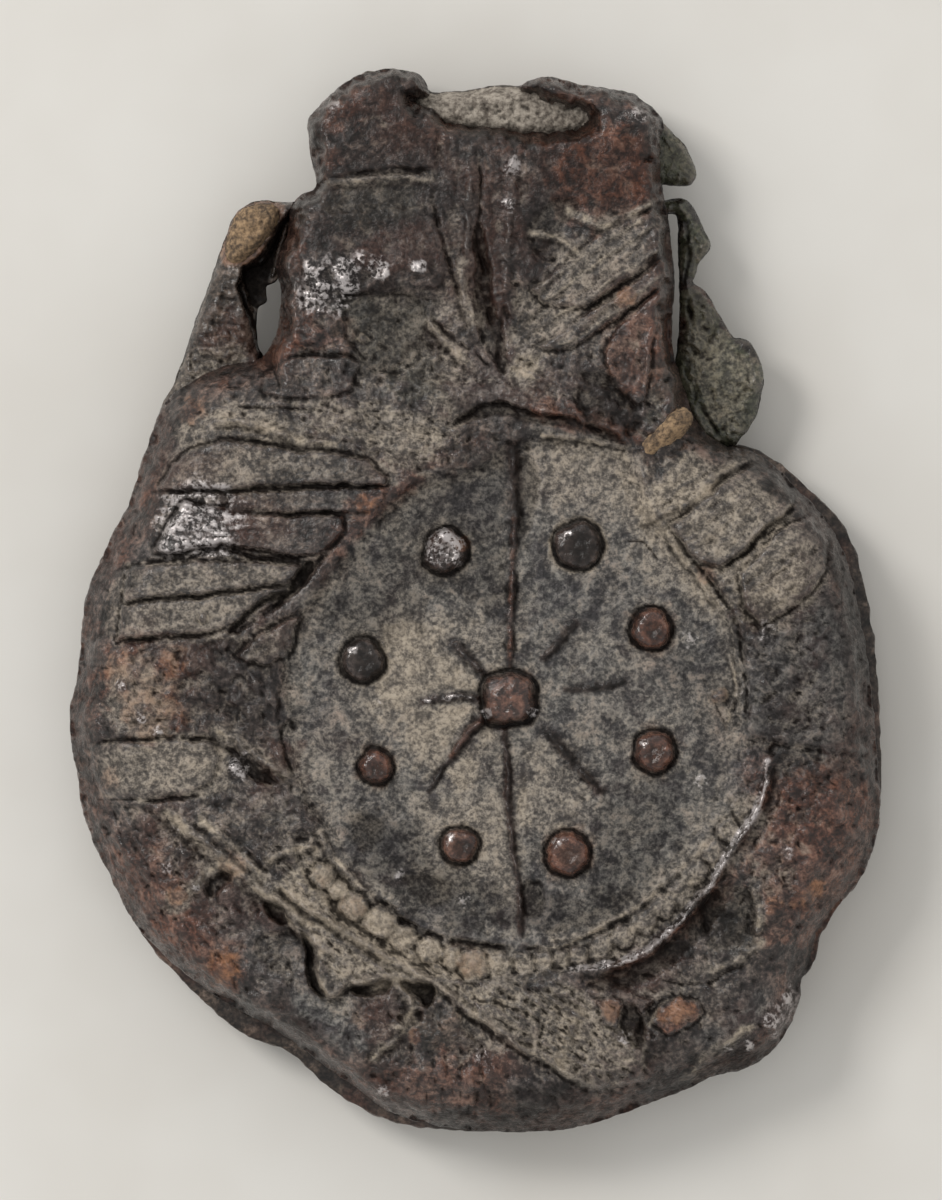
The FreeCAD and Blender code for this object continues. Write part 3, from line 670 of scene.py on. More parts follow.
class SheetSolid:
    """A closed mesh between an upper relief and an under relief, or a flat under face."""

    def __init__(self, net: Net, deep: np.ndarray, bulge: float = 0.05, rings: int = 4) -> None:
        """Finds the cells inside an outline and its rim.

        Args:
            net: the net.
            deep: how far inside the outline each point is, in pixels.
            bulge: how far the side swells past the outline, in millimetres.
            rings: the number of rows of faces in the side.
        """
        self.net, self.deep = net, deep
        self.bulge, self.rings = bulge, rings
        made = self.whole_cells(deep > -0.45 * net.step)
        made[0, :] = made[-1, :] = made[:, 0] = made[:, -1] = False
        self.cells = self.parted(made, added=False)
        self.u, self.v = self.snapped(self.cells)

    @staticmethod
    def whole_cells(held: np.ndarray) -> np.ndarray:
        """The cells whose corners are all held."""
        return held[:-1, :-1] & held[1:, :-1] & held[:-1, 1:] & held[1:, 1:]

    @staticmethod
    def parted(made: np.ndarray, added: bool) -> np.ndarray:
        """A set of cells with none that meet at a corner alone.

        Args:
            made: the set.
            added: whether a cell is added at such a corner, or else one is taken away.

        Returns:
            The new set.
        """
        made = made.copy()
        for _ in range(12):
            a, b, c, d = made[:-1, :-1], made[:-1, 1:], made[1:, :-1], made[1:, 1:]
            one, two = a & d & ~b & ~c, b & c & ~a & ~d
            if not (one.any() or two.any()):
                break
            (b if added else a)[one] = added
            (a if added else b)[two] = added
        return made

    @staticmethod
    def rim_of(made: np.ndarray) -> list[np.ndarray]:
        """The closed rims of a set of cells.

        Args:
            made: the set.

        Returns:
            Each rim as a list of the net's points in order, the longest first.
        """
        rows, columns = made.shape[0] + 1, made.shape[1] + 1
        index = np.arange(rows * columns).reshape(rows, columns)
        full = np.pad(made, 1)
        here = full[1:-1, 1:-1]
        steps = []
        for other, start, end in (
            (full[:-2, 1:-1], index[:-1, 1:], index[:-1, :-1]),
            (full[2:, 1:-1], index[1:, :-1], index[1:, 1:]),
            (full[1:-1, :-2], index[:-1, :-1], index[1:, :-1]),
            (full[1:-1, 2:], index[1:, 1:], index[:-1, 1:]),
        ):
            edge = here & ~other
            steps.append(np.stack([start[edge], end[edge]], 1))
        following = dict(np.vstack(steps).tolist())
        loops = []
        while following:
            start, here_now = next(iter(following.items()))
            loop = [start]
            del following[start]
            while here_now != start:
                loop.append(here_now)
                here_now = following.pop(here_now)
            loops.append(np.array(loop))
        return sorted(loops, key=len, reverse=True)

    def snapped(self, made: np.ndarray) -> tuple[np.ndarray, np.ndarray]:
        """The net's places, with the rim's points moved onto the outline.

        Args:
            made: the cells.

        Returns:
            The places across and down, in pixels.
        """
        u, v = self.net.u.copy(), self.net.v.copy()
        gv, gu = np.gradient(self.deep, self.net.step)
        size = np.maximum(np.hypot(gu, gv), 0.3)
        full = np.pad(made, 1).astype(int)
        touching = full[:-1, :-1] + full[1:, :-1] + full[:-1, 1:] + full[1:, 1:]
        rim = (touching > 0) & (touching < 4)
        shift = np.clip(self.deep, -self.net.step, self.net.step)
        u[rim] -= (shift * gu / size**2)[rim]
        v[rim] -= (shift * gv / size**2)[rim]
        return u, v

    def mesh(
        self,
        name: str,
        upper: Relief,
        under: Optional[Relief] = None,
        level: float = SEAM_MM,
        band: float = 0.0,
    ) -> bpy.types.Object:
        """Builds the object.

        Args:
            name: its name.
            upper: the heights and stains of its upper face.
            under: those of its under face, or None for a flat one.
            level: the height of the flat face, in millimetres.
            band: where above 0, only so many pixels of the upper face in from the rim are carved,
                and the rest, which nothing shows, is one flat face.

        Returns:
            The object, in metres.
        """
        made = self.cells
        size = upper.height.size
        rows, columns = made.shape[0] + 1, made.shape[1] + 1
        index = np.arange(rows * columns).reshape(rows, columns)
        x = (self.u - MIDDLE_PX[0]) * MM_PER_PX[0]
        y = (MIDDLE_PX[1] - self.v) * MM_PER_PX[1]
        places = [np.stack([x, y, upper.height], -1).reshape(-1, 3)]
        layers = {kind: [upper.stains[kind].ravel()] for kind in Stain}
        quads, fans = [], []

        def sheet(cells_made: np.ndarray, base: int, upward: bool) -> None:
            """Adds the faces of one sheet.

            Args:
                cells_made: its cells.
                base: the number of its first point.
                upward: whether its faces look up.
            """
            r, c = np.nonzero(cells_made)
            corners = [index[r, c], index[r + 1, c], index[r + 1, c + 1], index[r, c + 1]]
            if not upward:
                corners = corners[::-1]
            quads.append(np.stack(corners, 1) + base)

        def side(low_ring: np.ndarray) -> None:
            """Joins the last ring of points to the next."""
            faces = [previous, np.roll(previous, -1), np.roll(low_ring, -1), low_ring]
            quads.append(np.stack(faces, 1)[:, ::-1])

        top_cells = made
        if band > 0:
            inner = self.deep > band
            top_cells = self.parted(made & ~self.whole_cells(inner), added=True)
            fans.extend(self.rim_of(made & ~top_cells))
        sheet(top_cells, 0, True)
        rim = self.rim_of(made)[0]
        count = len(rim)
        if under is not None:
            places.append(np.stack([x, y, under.height], -1).reshape(-1, 3))
            for kind in Stain:
                layers[kind].append(under.stains[kind].ravel())
            sheet(made, size, False)
            low = under.height.ravel()[rim]
        else:
            low = np.full(count, level)
        start = sum(len(p) for p in places)
        top = upper.height.ravel()[rim]
        gv, gu = np.gradient(self.deep, self.net.step)
        length = np.maximum(np.hypot(gu, gv), 0.3)
        out_x = -(gu / length).ravel()[rim]
        out_y = (gv / length).ravel()[rim]
        rim_x, rim_y = x.ravel()[rim], y.ravel()[rim]
        wave = lattice_noise(self.u.ravel()[rim][None, :], self.v.ravel()[rim][None, :], 14, 77)[0]
        previous = rim
        last = self.rings if under is not None else self.rings + 1
        for ring in range(1, last):
            share = ring / self.rings
            swell = self.bulge * math.sin(math.pi * min(share, 1.0)) * (0.6 + 0.8 * wave)
            height = top + (low - top) * share
            ids = start + (ring - 1) * count + np.arange(count)
            places.append(np.stack([rim_x + out_x * swell, rim_y + out_y * swell, height], -1))
            for kind in Stain:
                layers[kind].append(upper.stains[kind].ravel()[rim])
            side(ids)
            previous = ids
        if under is not None:
            side(rim + size)
        else:
            fans.append(previous[::-1])
        return self.written(name, np.vstack(places), np.vstack(quads), fans, layers)

    @staticmethod
    def written(
        name: str, places: np.ndarray, quads: np.ndarray, fans: list[np.ndarray], layers: dict
    ) -> bpy.types.Object:
        """Writes the points, faces and stains into a mesh, without the unused points.

        Args:
            name: the object's name.
            places: the points, in millimetres.
            quads: the points of each four-sided face.
            fans: the points of each face with more sides.
            layers: for each stain, its strength at the points.

        Returns:
            The object, in metres.
        """
        places[:, 0] = np.clip(places[:, 0], -REACH_MM[0], REACH_MM[0])
        places[:, 1] = np.clip(places[:, 1], -REACH_MM[1], REACH_MM[1])
        used = np.zeros(len(places), bool)
        used[quads.ravel()] = True
        for loop in fans:
            used[loop] = True
        fresh = np.cumsum(used) - 1
        corners = np.concatenate([fresh[quads].ravel()] + [fresh[loop] for loop in fans])
        sizes = np.concatenate([np.full(len(quads), 4)] + [[len(loop)] for loop in fans]).astype(int)
        starts = np.concatenate([[0], np.cumsum(sizes)[:-1]])
        mesh = bpy.data.meshes.new(name)
        mesh.vertices.add(int(used.sum()))
        mesh.vertices.foreach_set("co", (places[used] * MM).astype(np.float32).ravel())
        mesh.loops.add(len(corners))
        mesh.loops.foreach_set("vertex_index", corners.astype(np.int32))
        mesh.polygons.add(len(sizes))
        mesh.polygons.foreach_set("loop_start", starts.astype(np.int32))
        mesh.polygons.foreach_set("loop_total", sizes.astype(np.int32))
        mesh.polygons.foreach_set("use_smooth", np.ones(len(sizes), bool))
        mesh.update(calc_edges=True)
        for kind, parts in layers.items():
            layer = mesh.attributes.new(kind.value, "FLOAT", "POINT")
            layer.data.foreach_set("value", np.concatenate(parts)[used].astype(np.float32))
        mesh.validate()
        made = bpy.data.objects.new(name, mesh)
        bpy.context.scene.collection.objects.link(made)
        return made


def linear(colour: str) -> tuple[float, float, float, float]:
    """A colour written as sRGB hex, as Blender's linear values."""
    parts = [int(colour[i : i + 2], 16) / 255 for i in (1, 3, 5)]
    made = [c / 12.92 if c <= 0.04045 else ((c + 0.055) / 1.055) ** 2.4 for c in parts]
    return made[0], made[1], made[2], 1.0


def feed(tree: bpy.types.NodeTree, node: bpy.types.Node, inputs: dict) -> None:
    """Sets a node's inputs.

    Args:
        tree: the material's nodes.
        node: the node.
        inputs: for each input's name or number, a value, a colour in hex or another node's output.
    """
    for key, value in inputs.items():
        if isinstance(value, Socket):
            tree.links.new(value, node.inputs[key])
        else:
            node.inputs[key].default_value = linear(value) if isinstance(value, str) else value


def add_node(
    tree: bpy.types.NodeTree, kind: str, inputs: Optional[dict] = None, **settings: object
) -> bpy.types.Node:
    """Adds a node to a tree.

    Args:
        tree: the material's nodes.
        kind: the node's type.
        inputs: what its inputs are given.
        settings: the node's own properties.

    Returns:
        The node.
    """
    node = tree.nodes.new(kind)
    for key, value in settings.items():
        setattr(node, key, value)
    feed(tree, node, inputs or {})
    return node


class Mixture:
    """A finish while it is mixed from patterns, stains and colours."""

    def __init__(self, name: str, grain_mm: float = 1.0) -> None:
        """Makes the material with its one shader.

        Args:
            name: the material's name.
            grain_mm: the size of its rounded grains, in millimetres.
        """
        self.material = bpy.data.materials.new(name)
        self.material.use_nodes = True
        self.tree = self.material.node_tree
        self.tree.nodes.clear()
        self.shader = add_node(self.tree, "ShaderNodeBsdfPrincipled")
        add_node(self.tree, "ShaderNodeOutputMaterial", {"Surface": self.shader.outputs[0]})
        where = add_node(self.tree, "ShaderNodeTexCoord").outputs["Object"]
        in_mm = add_node(self.tree, "ShaderNodeVectorMath", {0: where, 3: 1 / MM}, operation="SCALE")
        self.place = in_mm.outputs[0]
        grains = add_node(self.tree, "ShaderNodeTexVoronoi", {"Vector": self.place, "Scale": 1 / grain_mm})
        self.grains = grains.outputs["Distance"]
        self.stains = {
            kind: add_node(self.tree, "ShaderNodeAttribute", attribute_name=kind.value).outputs["Fac"]
            for kind in Stain
        }

    def clouds(self, *kinds: tuple[float, float, float, float]) -> list[Socket]:
        """The clouded patterns that a finish is mixed from.

        Args:
            kinds: for each, the size of its largest bumps in millimetres, its detail, roughness
                and warp.

        Returns:
            The patterns, in order.
        """
        made = []
        for size, detail, rough, warp in kinds:
            drawing = {"Scale": 1 / size, "Detail": detail, "Roughness": rough, "Distortion": warp}
            node = add_node(self.tree, "ShaderNodeTexNoise", {"Vector": self.place, **drawing})
            made.append(node.outputs["Fac"])
        return made

    def weighed(self, *parts: tuple, plus: float = 0.0, clamp: bool = False) -> Socket:
        """Patterns and stains added up by weight.

        Args:
            parts: pairs of a pattern or stain and its weight, which may be a pattern too.
            plus: the level that they are added to.
            clamp: whether the total is kept from 0 to 1.

        Returns:
            The total.
        """
        total = plus
        for number, (part, weight) in enumerate(parts, 1):
            last = number == len(parts)
            total = add_node(
                self.tree, "ShaderNodeMath", {0: part, 1: weight, 2: total},
                operation="MULTIPLY_ADD", use_clamp=clamp and last,
            ).outputs[0]
        return total

    def graded(self, low: float, high: float, *parts: tuple) -> Socket:
        """How far a weighed total is from low to high, eased, from 0 to 1."""
        given = {"Value": self.weighed(*parts), "From Min": low, "From Max": high}
        return add_node(self.tree, "ShaderNodeMapRange", given, interpolation_type="SMOOTHSTEP").outputs[0]

    def frayed(self, kind: Stain, pattern: Socket, much: float, soft: float) -> Socket:
        """A stain's strength, broken up into flecks where it is thin.

        Args:
            kind: the stain.
            pattern: what breaks it up.
            much: how strongly.
            soft: how softly each fleck ends.

        Returns:
            The strength.
        """
        middle = 0.5 + 0.5 * much
        return self.graded(middle - soft, middle + soft, (pattern, much), (self.stains[kind], 1))

    def laid(self, under: object, over: object, *parts: tuple, how: str = "MIX", **level: object) -> Socket:
        """One colour laid over another.

        Args:
            under: the colour below.
            over: the colour on top.
            parts: what is weighed to say how thickly it lies.
            how: the way that the colours are put together.
            level: what else the weighing takes.

        Returns:
            The colour that shows.
        """
        given = {0: self.weighed(*parts, **level), 6: under, 7: over}
        return add_node(self.tree, "ShaderNodeMix", given, data_type="RGBA", blend_type=how).outputs[2]

    def finished(
        self, given: dict, pile: Optional[Socket] = None, strength: object = 1.0
    ) -> bpy.types.Material:
        """Gives the shader what it shows.

        Args:
            given: its colour, roughness and the rest, by name.
            pile: the height of the grains on the surface, from 0 to 1.
            strength: how much of it shows.

        Returns:
            The material.
        """
        grain_height = 0.07 * MM
        if pile:
            bump = {"Strength": strength, "Distance": grain_height, "Height": pile}
            given = {**given, "Normal": add_node(self.tree, "ShaderNodeBump", bump).outputs[0]}
        feed(self.tree, self.shader, given)
        return self.material


@dataclass(frozen=True)
class CorrodedLead:
    """Cast lead-tin alloy after centuries in the ground.

    The skin is a dull umber oxide, glossy where it is worn. Over it lie slate-grey sulphide, moss,
    iron stain, a grey-tan carbonate crust that is chalky where it is thick, and ochre soil. The
    eye gets dark semi-gloss metal that is speckled pale in its hollows and glints on its lumps.
    The specks are the pores of the crust, about 0.05 mm, drawn four times as coarse to show.
    Near-black painted shade and painted glints of bright metal are laid over it where the mesh says.
    """

    name: str = "cast_lead_corroded"
    umber_dark: str = "#17110f"
    umber: str = "#3f3431"
    umber_red: str = "#4d3229"
    worn: str = "#5d524c"
    crust_dark: str = "#635c55"
    crust: str = "#8a8175"
    chalk: str = "#a39684"
    slate_dark: str = "#312f32"
    slate: str = "#5f5f5d"
    rust: str = "#683e2c"
    ochre: str = "#8a5f40"
    # The colour of the painted shade and the dark patina
    dark_patina_and_shade: str = "#120e0c"
    moss: str = "#4b4d42"
    # The colour of the painted glints and the bare metal
    bare_metal_and_glint: str = "#c2bcbb"
    gloss: float = 0.23
    matt: float = 0.60
    speck_mm: float = 0.19
    clump_mm: float = 1.7
    stain_mm: float = 4.5

    def made(self) -> bpy.types.Material:
        """Mixes the finish, from the oxide up to the bare metal.

        Returns:
            The material.
        """
        m = Mixture(self.name, self.speck_mm * 1.5)
        speck, fleck, clump, broad = m.clouds(
            (self.speck_mm, 3.0, 0.65, 0.0),
            (self.speck_mm * 3.2, 4.0, 0.66, 0.5),
            (self.clump_mm, 4.0, 0.6, 0.4),
            (self.stain_mm, 3.0, 0.55, 0.0),
        )
        mixed = m.weighed((fleck, 0.45), (clump, 0.4), (speck, 0.15))
        base = m.laid(self.umber_dark, self.umber, (m.graded(0.36, 0.64, (mixed, 1)), 1))
        base = m.laid(base, self.umber_red, (m.graded(0.48, 0.62, (broad, 1)), 0.55))
        # The coats: stain, how far and how softly it is frayed, its cover, the two colours that it
        # is mottled in, and the range and the patterns of the mottling
        coats = (
            (Stain.SLATE, 1.6, 0.44, 0.92, self.slate_dark, self.slate, 0.80, 1.20, (clump, fleck)),
            (Stain.MOSS, 1.2, 0.45, 0.75, self.moss, self.moss, 0.38, 0.62, (fleck,)),
            (Stain.RUST, 1.8, 0.42, 0.85, self.umber_red, self.rust, 0.38, 0.62, (fleck,)),
            (Stain.CRUST, 1.8, 0.50, 0.92, self.crust_dark, self.crust, 0.80, 1.20, (speck, fleck)),
            (Stain.OCHRE, 1.6, 0.46, 0.85, self.rust, self.ochre, 0.80, 1.15, (clump, fleck)),
        )
        held = {}
        for kind, much, soft, cover, dark, light, low, high, mottling in coats:
            held[kind] = m.frayed(kind, mixed, much, soft)
            tone = m.laid(dark, light, (m.graded(low, high, *((part, 1) for part in mottling)), 1))
            base = m.laid(base, tone, (held[kind], cover))
            if kind is Stain.CRUST:
                thick = m.graded(0.85, 1.20, (m.stains[kind], 1), (fleck, 0.3))
                base = m.laid(base, self.chalk, (thick, 0.75))
        slate, rust, crust, ochre = (held[k] for k in (Stain.SLATE, Stain.RUST, Stain.CRUST, Stain.OCHRE))
        shine, dark_patina_and_shade = m.stains[Stain.SHINE], m.stains[Stain.DARK_PATINA_AND_SHADE]
        bright = m.weighed((shine, m.weighed((rust, -0.8), plus=1.0)))
        broken = m.weighed((m.graded(0.4, 0.6, (fleck, 1)), 0.4), plus=0.1)
        base = m.laid(base, self.worn, (bright, broken))
        # Fine light and dark specks all over, weaker where the metal is worn or coated
        fine = m.weighed((m.graded(0.37, 0.63, (speck, 0.6), (fleck, 0.4)), 0.82), plus=0.08)
        calm = ((shine, -0.15), (ochre, -0.25), (crust, -0.25))
        base = m.laid(base, fine, *calm, how="OVERLAY", plus=0.72, clamp=True)
        # Near-black painted shade in the folds and on sides turned from the window, and dark patina where
        # it is washed on
        base = m.laid(base, self.dark_patina_and_shade, (dark_patina_and_shade, 0.93))
        # Painted glints, and bright bare metal where the crust is worn through, broken into flecks
        flecks = m.graded(0.90, 1.10, (speck, 1), (fleck, 1))
        bare_metal_and_glint = m.weighed((m.frayed(Stain.BARE_METAL_AND_GLINT, mixed, 1.6, 0.4), flecks))
        base = m.laid(base, self.bare_metal_and_glint, (bare_metal_and_glint, 0.85))
        # Crust, slate and ochre are matt, and the worn metal, the bare metal and its painted glints gloss
        coated = crust
        for coat, share in ((slate, 0.75), (ochre, 0.9)):
            other = {0: coated, 1: m.weighed((coat, share))}
            coated = add_node(m.tree, "ShaderNodeMath", other, operation="MAXIMUM").outputs[0]
        rough = m.weighed(
            (m.graded(0.0, 1.0, (coated, 1)), self.matt - self.gloss),
            (m.graded(0.75, 1.25, (speck, 1), (fleck, 1)), -0.26),
            (shine, -0.17), (dark_patina_and_shade, 0.25), (bare_metal_and_glint, -0.25), plus=self.gloss + 0.12, clamp=True,
        )
        # The painted shade also takes the room's reflection off the folds, so that they stay dark
        gleam = m.weighed((shine, 0.22), (dark_patina_and_shade, -0.36), plus=0.42, clamp=True)
        given = {
            "Base Color": base, "Roughness": rough, "Specular IOR Level": gleam,
            "Metallic": m.weighed((bare_metal_and_glint, 0.6)),
        }
        pile = m.weighed((speck, 0.9), (m.grains, -0.30), (fleck, 1.0))
        return m.finished(given, pile, m.weighed((shine, -0.4), plus=1.0))


@dataclass(frozen=True)
class PackedSoil:
    """Fine soil pressed and dried onto the metal.

    The eye gets a matt, grainy crust of medium sand in silt, paler where it is thick.
    """

    name: str = "soil_packed"
    dark: str = "#5f574f"
    pale: str = "#aea599"
    # The colour of the painted shade in the soil's folds
    spot: str = "#5a4434"
    dark_patina_and_shade: str = "#191410"
    grain_mm: float = 0.2

    def made(self) -> bpy.types.Material:
        """Mixes the finish.

        Returns:
            The material.
        """
        m = Mixture(self.name, self.grain_mm * 1.4)
        speck, fleck = m.clouds((self.grain_mm, 4.0, 0.7, 0.0), (self.grain_mm * 4, 3.0, 0.6, 0.3))
        base = m.laid(self.dark, self.pale, (m.graded(0.58, 1.02, (speck, 1), (fleck, 0.6)), 1))
        base = m.laid(base, self.spot, (m.frayed(Stain.RUST, fleck, 1.0, 0.3), 0.85))
        # Painted shade in the soil's folds and pits
        base = m.laid(base, self.dark_patina_and_shade, (m.stains[Stain.DARK_PATINA_AND_SHADE], 0.85))
        pile = m.weighed((speck, 1), (m.grains, -0.6))
        return m.finished({"Base Color": base, "Roughness": 0.86, "Specular IOR Level": 0.35}, pile, 0.9)


@dataclass(frozen=True)
class PaleTop:
    """The smooth painted board that the flask lies on: pale warm grey with a faint cloudiness."""

    name: str = "board_painted"
    light: str = "#dfddd8"
    shade: str = "#d8d5cf"
    cloud_mm: float = 14.0

    def made(self) -> bpy.types.Material:
        """Mixes the finish.

        Returns:
            The material.
        """
        m = Mixture(self.name)
        (cloudy,) = m.clouds((self.cloud_mm, 3.0, 0.55, 0.0))
        base = m.laid(self.light, self.shade, (m.graded(0.3, 0.7, (cloudy, 1)), 1))
        return m.finished({"Base Color": base, "Roughness": 0.55})


# The whole flask's outline, which is the back half's, and where the front half's leaves it. Like all
# the drawn lines it has the photograph's pixels
WHOLE_PX = px("500,1133 468,1133 440,1130 410,1127 385,1120 360,1109 335,1094 316,1078 300,1062 281,1049"
    " 255,1041 234,1029 213,1011 194,994 175,974 155,954 138,930 123,905 110,878 97,852 86,825 80,800"
    " 77,775 72,752 69,730 69,708 75,685 79,655 81,630 84,605 90,582 100,560 112,534 125,510 132,492"
    " 139,468 149,440 160,410 172,394 185,385 204,374 222,366 244,361 262,357 272,342 278,328 280,308"
    " 281,290 277,275 275,262 281,247 287,236 289,222 291,207 302,194 316,186 312,160 309,138 308,120"
    " 316,108 327,97 338,87 350,79 368,71 388,68 406,70 420,74 427,84 431,92 448,91 466,90 480,87 498,84"
    " 518,85 532,79 548,76 564,79 580,84 606,87 632,93 650,105 664,122 661,138 660,156 661,176 664,195"
    " 669,225 673,260 674,292 672,325 675,358 683,384 696,418 710,436 728,444 745,446 764,453 782,464"
    " 800,480 822,500 842,522 856,550 866,588 872,620 877,655 880,700 882,745 883,780 881,808 877,838"
    " 866,870 853,890 840,905 830,922 821,936 817,955 811,970 802,980 801,995 797,1010 790,1028 776,1048"
    " 758,1063 735,1072 716,1077 700,1084 672,1096 640,1108 604,1121 570,1129 535,1133")
FRONT_LOWER_LEFT_PX = px("470,1131 440,1127 410,1120 382,1108 352,1086 318,1062 294,1044 268,1026 240,1012"
    " 214,996 194,981 175,966 156,948")
FRONT_RIGHT_PX = px("728,446 745,449 762,456 778,468 796,486 815,506 832,528 846,556 856,590 862,622"
    " 868,655 873,700 877,745 880,780")
FRONT_LIP_PX = px("427,84 430,94 424,99 414,99 420,104 432,108 442,115 455,121 476,125 500,127 524,130"
    " 548,131 566,130 580,125 585,119 576,112 560,107 542,101 528,94 519,88 523,83 532,79")

# The face of the body without its neck, for the dome
DOME_PX = px("500,1133 440,1130 385,1120 335,1094 300,1062 255,1041 213,1011 175,974 138,930 110,878 86,825"
    " 77,775 69,730 75,685 81,630 100,560 125,510 139,468 160,410 185,385 222,366 262,352 370,338 480,340"
    " 590,360 696,418 745,446 782,464 822,500 842,522 866,588 877,655 883,745 881,808 866,870 840,905"
    " 821,936 802,980 797,1010 776,1048 735,1072 700,1084 604,1121 535,1133")

# The dome's middle, and the least way from there over a point to the rim, on which a round dome
# and this wider one agree
DOME_MIDDLE_PX = (483.0, 738.0)
LEAST_REACH_PX = 369.5

# The roundel's field, the neck's face and the hollow under the neck's left
FIELD_PX = px("300,616 349,554 418,485 500,450 542,436 624,448 652,520 717,590 744,668 744,740 704,842"
    " 640,904 550,942 459,936 366,890 325,830 287,730 284,660")
NECK_PX = px("306,100 420,74 440,130 520,136 600,110 660,120 664,196 600,222 545,206 500,300 440,300"
    " 340,300 290,350 285,250")
NECK_HOLLOW_PX = px("341,298 420,298 440,350 400,376 372,372 346,340")


def spliced(whole: Path, start: Point, end: Point, other: Path) -> list[Point]:
    """An outline with a run of its points taken by another run.

    Args:
        whole: the outline.
        start: the point where the run starts.
        end: the point where it ends.
        other: the run that takes its place.

    Returns:
        The new outline.
    """
    first, last = whole.index(start), whole.index(end)
    if first < last:
        return list(whole[:first]) + list(other) + list(whole[last + 1 :])
    return list(other) + list(whole[last + 1 : first])


def front_outline() -> list[Point]:
    """The front half's outline, which leaves the whole one's at the lip, the right and the foot."""
    line = spliced(WHOLE_PX, (427, 84), (532, 79), FRONT_LIP_PX)
    line = spliced(line, (728, 444), (883, 780), FRONT_RIGHT_PX)
    return spliced(line, (468, 1133), (155, 954), FRONT_LOWER_LEFT_PX)


